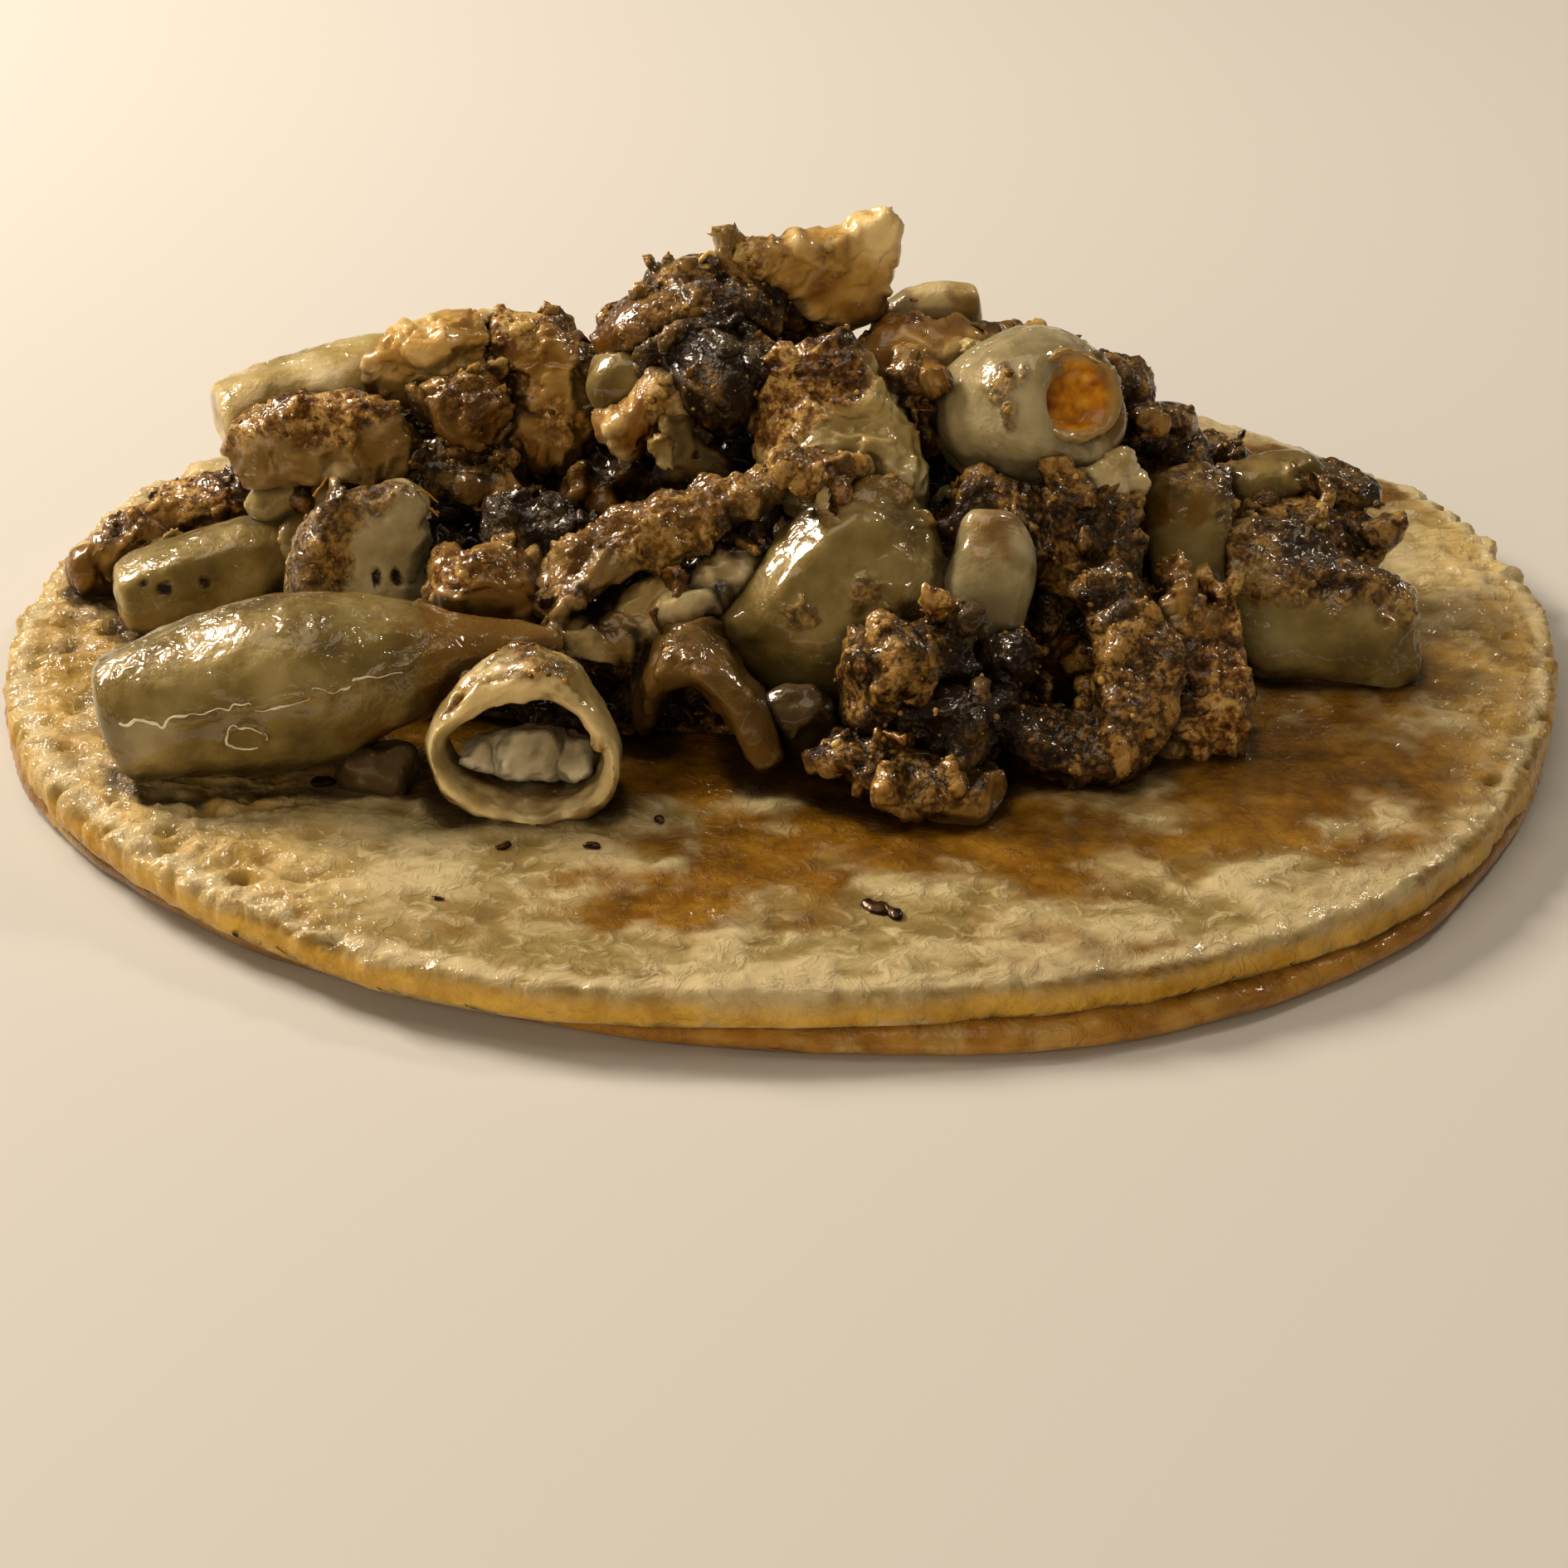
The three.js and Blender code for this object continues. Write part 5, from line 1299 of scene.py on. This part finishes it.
def dress_bed(settings, materials):
    """The mound under the pieces: small scraps of crust, burnt and soaked, packed together."""
    chance = Random(5)
    lumps = [copy_of("heap_core", "bed_of_scraps")]
    for place in open_spots(settings.scraps, chance):
        bpy.ops.mesh.primitive_ico_sphere_add(subdivisions=2, radius=chance.uniform(1.2, 2.6) * MM)
        lump = bpy.context.active_object
        turn = Euler([chance.uniform(0, math.tau) for _ in range(3)]).to_matrix().to_4x4()
        seat = Matrix.Translation(place + Vector((0, 0, 0.4 * MM)))
        lump.data.transform(seat @ turn @ Matrix.Diagonal(LUMP_SHAPE))
        lumps.append(lump)
    piece = joined(lumps)
    apply(piece, "REMESH", mode="VOXEL", voxel_size=settings.voxel * 1.4, use_smooth_shade=True)
    apply(piece, "SMOOTH", iterations=2, factor=0.5)
    points, normals = points_of(piece), normals_of(piece)
    edge = ridges(piece, points, normals, 30, 0.14 * MM, 0.42 * MM)
    grit = crust_relief(points, settings, 700)
    wet = smooth(-0.1, 0.3, rough(points, 3 * MM, 707))
    up = smooth(-0.6, 0.0, normals[:, 2])
    relief = (settings.clump_height * 1.6 * grit + 0.7 * MM * edge * rough(points, 1.7 * MM, 705)) * up
    shift = drift(points, 2.5 * MM, 710) * 0.5 * MM * up[:, None]
    move_points(piece, points + shift + normals * relief[:, None])
    tone = rough(points, 5 * MM, 703)
    # Its edges are lighter and take the rim colour: partly pale torn rims, partly a painted highlight.
    mark(
        piece,
        crust=smooth(0.55, 0.3, tone),
        high=0.45 + 0.5 * grit + 0.2 * edge,
        rim=0.5 * edge,
        amber=0.7 * smooth(0.2, 0.5, rough(points, 4 * MM, 704)),
        char=0.85 * smooth(0.35, -0.2, tone) * smooth(0.8, 0.1, grit),
        wet=wet,
    )
    finish(piece, materials["crust"], "heap_core", "heap_core")


# The grid that tells how crowded each place in the heap is.
GRID_CORNER = np.array([-66, -66, -2]) * MM
GRID_STEP = 0.8 * MM
GRID_CELLS = (166, 166, 56)
CROWD_STEPS = (1.8 * MM, 3.2 * MM)  # how far above a point its neighbours are looked for


def scatter(name, places, sizes, template, squash, bend, random, material, jitter):
    """A cluster of loose bits, each with its own shade."""
    piece = cluster(name, places, sizes, template, squash, bend, random, jitter)
    mark(piece, shade=np.repeat(random.uniform(size=len(places)), len(template[0])))
    finish(piece, material, "tripe_crust")
    return piece


def crusty_points(pieces):
    """Points on the crust of the pieces and on their ragged edges, not on their undersides."""
    flats, edges = [], []
    for piece in pieces:
        crust, rim = (np.empty(len(piece.data.vertices), dtype=np.float32) for _ in range(2))
        piece.data.attributes["crust"].data.foreach_get("value", crust)
        piece.data.attributes["rim"].data.foreach_get("value", rim)
        seen = normals_of(piece)[:, 2] > -0.3
        flats.append(points_of(piece)[(crust > 0.75) & seen])
        edges.append(points_of(piece)[(crust > 0.4) & (rim > 0.4) & seen])
    return np.concatenate(flats), np.concatenate(edges)


SHREDS = (("pale_shreds", "pale"), ("brown_shreds", "toast"), ("dark_shreds", "crust"))
SHRED_FLOOR = 7.5 * MM  # none lie on the tortilla


def scatter_shreds(settings, grid, materials):
    """Bent strips of tripe, caught in the gaps between the pieces."""
    random = np.random.default_rng(8)
    places = []
    for piece in dressed("_tripe", "bed_of_scraps"):
        points, normals = points_of(piece), normals_of(piece)
        crowd = crowd_at(grid, points, normals)
        places.append((points + 0.3 * MM * normals)[(crowd > 0.38) & (crowd < 0.7) & (normals[:, 2] > 0)])
    places = np.concatenate(places)
    places = places[places[:, 2] > SHRED_FLOOR]
    strip = template_of(
        bpy.ops.mesh.primitive_grid_add,
        thickness=0.3,
        rounded=True,
        x_subdivisions=7,
        y_subdivisions=4,
        size=1,
    )
    for number, (name, kind) in enumerate(SHREDS):
        chosen = places[random.integers(0, len(places), settings.shreds)]
        sizes = 3.4 * random.gamma(7.0, 1 / 7, settings.shreds).clip(0.5, 1.6) * MM
        piece = scatter(name, chosen, sizes, strip, (1, 0.6, 1), 1.6, random, materials[kind], jitter=0.12)
        points, normals = points_of(piece), normals_of(piece)
        grit = crust_relief(points, settings, 950 + number)
        lift = normals * (0.4 * MM * grit)[:, None]
        points = points + 0.7 * MM * drift(points, 1.6 * MM, 960 + number) + lift
        move_points(piece, points)
        mark(
            piece,
            crust=smooth(-0.2, 0.2, rough(points, 3 * MM, 970 + number) + 0.25 * number - 0.15),
            high=0.5 + 0.5 * grit,
            rim=smooth(0.1, 0.5, grit),
            amber=0.8 * smooth(0.05, 0.4, rough(points, 4 * MM, 980 + number)),
            char=0.7 * smooth(0.3, 0.6, rough(points, 4 * MM, 990 + number)),
            wet=1 + 0 * grit,
        )


def scatter_morsels(settings):
    """Crumbs, torn flakes, fibres and beads of fat on all the crust."""
    random = np.random.default_rng(9)
    flats, edges = crusty_points(dressed("_tripe"))
    deep = np.concatenate(crusty_points(dressed("bed_of_scraps")))
    both = np.concatenate([flats, edges])
    ball = template_of(bpy.ops.mesh.primitive_ico_sphere_add, subdivisions=1, radius=0.5)
    bead = template_of(bpy.ops.mesh.primitive_ico_sphere_add, subdivisions=2, radius=0.5)
    sheet = template_of(
        bpy.ops.mesh.primitive_grid_add, thickness=0.14, x_subdivisions=4, y_subdivisions=3, size=1
    )
    tan = morsel_material("tan_fried_morsels", ("#54390f", "#8a662a", "#c7a25c"))
    gold = morsel_material("golden_fried_morsels", ("#835210", "#b38432", "#e4c27a"), 0.6)
    brown = morsel_material("brown_fried_morsels", ("#1e1004", "#45290b", "#74501c"))
    fat = droplet_material()
    crumb, flake, fibre = (1, 1, 1), (1, 0.8, 0.9), (1, 0.16, 0.9)
    for name, template, squash, bend, material, count, places, size in (
        ("tan_crumbs", ball, crumb, 0, tan, settings.crumbs, both, 0.5),
        ("golden_crumbs", ball, crumb, 0, gold, settings.crumbs // 3, edges, 0.45),
        ("brown_crumbs", ball, crumb, 0, brown, settings.crumbs, deep, 0.7),
        ("tan_flakes", sheet, flake, 0.9, tan, settings.flakes // 3, edges, 0.9),
        ("brown_flakes", sheet, flake, 0.9, brown, settings.flakes, deep, 1.6),
        ("tan_fibres", sheet, fibre, 1.2, tan, settings.fibres, deep, 2.2),
        ("brown_fibres", sheet, fibre, 1.2, brown, settings.fibres, deep, 2.4),
        ("fat_droplets", bead, crumb, 0, fat, settings.droplets, both, 0.3),
    ):
        chosen = places[random.integers(0, len(places), count)]
        sizes = size * random.gamma(6.0, 1 / 6, count).clip(0.4, 1.8) * MM
        jitter = 0.3 if template is ball else 0.12
        scatter(name, chosen, sizes, template, squash, bend, random, material, jitter)
    # Near white, a painted glint along the tube's wrinkles, under a real glossy coat.
    pale = morsel_material("pale_fat_line", ("#a8996c", "#cfc398", "#f0e8cc"), 1.0)
    dress_wisps({"gold": gold, "fat": pale})


def crowding(pieces):
    """A grid of how many surfaces are near each place in the heap."""
    grid = np.zeros(GRID_CELLS)
    for piece in pieces:
        grid[tuple(((points_of(piece) - GRID_CORNER) / GRID_STEP).astype(int).T)] = 1
    for _ in range(3):
        for axis in range(3):
            grid = 0.25 * np.roll(grid, 1, axis) + 0.5 * grid + 0.25 * np.roll(grid, -1, axis)
    return grid


def crowd_at(grid, points, normals):
    """How crowded it is just above each point: 0 in the open, about 1 in a narrow gap."""
    crowd = np.zeros(len(points))
    for step in CROWD_STEPS:
        place = (points + normals * step + (0, 0, 0.4 * MM) - GRID_CORNER) / GRID_STEP - 0.5
        base = np.floor(place).astype(int)
        f = place - base
        for corner in np.ndindex(2, 2, 2):
            at = np.clip(base + corner, 0, np.array(GRID_CELLS) - 1)
            crowd += np.prod(np.where(corner, f, 1 - f), axis=1) * grid[tuple(at.T)]
    return crowd


def paint_gap_shade(grid):
    """Paints shade into the gaps between the pieces, darkest where they crowd each other most."""
    for piece in bpy.data.objects:
        if piece.type == "MESH" and {"crust", "shade", "soak"} & set(piece.data.attributes.keys()):
            depth = 0.6 if "tripe_skin" in piece.data.materials[0].name else 0.85
            depth = 0.5 if piece.name in ("ring_crumbs_tripe", "fat_bit_tripe") else depth
            mark(piece, gap=depth * smooth(0.28, 0.8, crowd_at(grid, points_of(piece), normals_of(piece))))


class TACO_OT_bed(bpy.types.Operator):
    """Dress the bed of dark scraps in the middle of the heap"""

    bl_idname = "taco.bed"
    bl_label = "Bed of scraps"

    def execute(self, context):
        settings = context.scene.taco_filling
        materials = {
            "crust": bpy.data.materials["fried_tripe_crust"],
            "toast": bpy.data.materials["toasted_tripe"],
            "pale": bpy.data.materials["pale_tripe_skin"],
        }
        dress_bed(settings, materials)
        grid = crowding(dressed("_tripe", "_skin", "bed_of_scraps"))
        scatter_shreds(settings, grid, materials)
        scatter_morsels(settings)
        paint_gap_shade(grid)
        return {"FINISHED"}


# ---------------------------------------------------------------- stage

LIGHTS = (  # name, place in metres, width in metres, watts and colour
    ("key_light", (-0.44, 0.26, 0.40), 0.22, 5.2, "#fff0da"),
    ("side_light", (0.34, 0.26, 0.44), 0.08, 0.7, "#fff0d8"),
    ("fill_light", (-0.24, -0.60, 0.26), 0.4, 1.6, "#ffe6c4"),
    ("top_light", (-0.14, 0.06, 0.75), 0.5, 1.0, "#fff2de"),
)


class TACO_OT_stage(bpy.types.Operator):
    """Lay the floor and set the lights and the camera"""

    bl_idname = "taco.stage"
    bl_label = "Floor, lights and camera"

    def execute(self, context):
        settings = context.scene.taco_stage
        bpy.ops.object.select_all(action="DESELECT")
        bpy.ops.mesh.primitive_plane_add(size=6, location=(0, 0, 0))
        floor = context.active_object
        floor.name = "floor"
        floor.data.materials.append(floor_material())
        for name, place, size, power, colour in LIGHTS:
            bpy.ops.object.light_add(type="AREA", location=place)
            lamp = context.active_object
            lamp.name = name
            lamp.data.size = size
            lamp.data.energy = power
            lamp.data.color = linear(colour)[:3]
            lamp.visible_glossy = name != "fill_light"  # it lifts the shadows and leaves no mirror image
            lamp.rotation_euler = (-Vector(place)).to_track_quat("-Z", "Y").to_euler()
        world = bpy.data.worlds.new("soft_studio")
        world.use_nodes = True
        background = world.node_tree.nodes["Background"].inputs
        background["Color"].default_value = linear("#ffe9c8")
        background["Strength"].default_value = 0.1
        context.scene.world = world
        context.scene.view_settings.view_transform = "Standard"
        pitch = settings.elevation + settings.dip
        bpy.ops.object.camera_add(
            location=(
                0,
                -settings.distance * math.cos(settings.elevation),
                settings.height + settings.distance * math.sin(settings.elevation),
            ),
            rotation=(math.pi / 2 - pitch, 0, 0),
        )
        camera = context.active_object
        camera.name = "camera"
        camera.data.sensor_width = 36
        camera.data.lens = settings.lens
        camera.data.clip_start = 0.01
        context.scene.camera = camera
        return {"FINISHED"}


# ---------------------------------------------------------------- panel and registration


class TACO_PT_panel(bpy.types.Panel):
    """The steps in the order in which they are run"""

    bl_idname = "TACO_PT_panel"
    bl_label = "Tripe Taco"
    bl_space_type = "VIEW_3D"
    bl_region_type = "UI"
    bl_category = "Taco"

    def draw(self, context):
        for name, group in (
            ("taco.tortillas", context.scene.taco_tortilla),
            ("taco.filling", context.scene.taco_filling),
            ("taco.bed", None),
            ("taco.stage", context.scene.taco_stage),
        ):
            box = self.layout.box()
            for key in group.__annotations__ if group else ():
                box.prop(group, key)
            box.operator(name)


GROUPS = {
    "taco_tortilla": TacoTortillaSettings,
    "taco_filling": TacoFillingSettings,
    "taco_stage": TacoStageSettings,
}
CLASSES = [TACO_OT_tortillas, TACO_OT_filling, TACO_OT_bed, TACO_OT_stage, TACO_PT_panel]


def register():
    for name, group in GROUPS.items():
        bpy.utils.register_class(group)
        setattr(bpy.types.Scene, name, bpy.props.PointerProperty(type=group))
    for cls in CLASSES:
        bpy.utils.register_class(cls)


def unregister():
    for cls in reversed(CLASSES):
        bpy.utils.unregister_class(cls)
    for name, group in reversed(GROUPS.items()):
        delattr(bpy.types.Scene, name)
        bpy.utils.unregister_class(group)


def main():
    register()
    bpy.ops.taco.tortillas()
    bpy.ops.taco.filling()
    bpy.ops.taco.bed()
    bpy.ops.taco.stage()


if __name__ == "__main__":
    main()
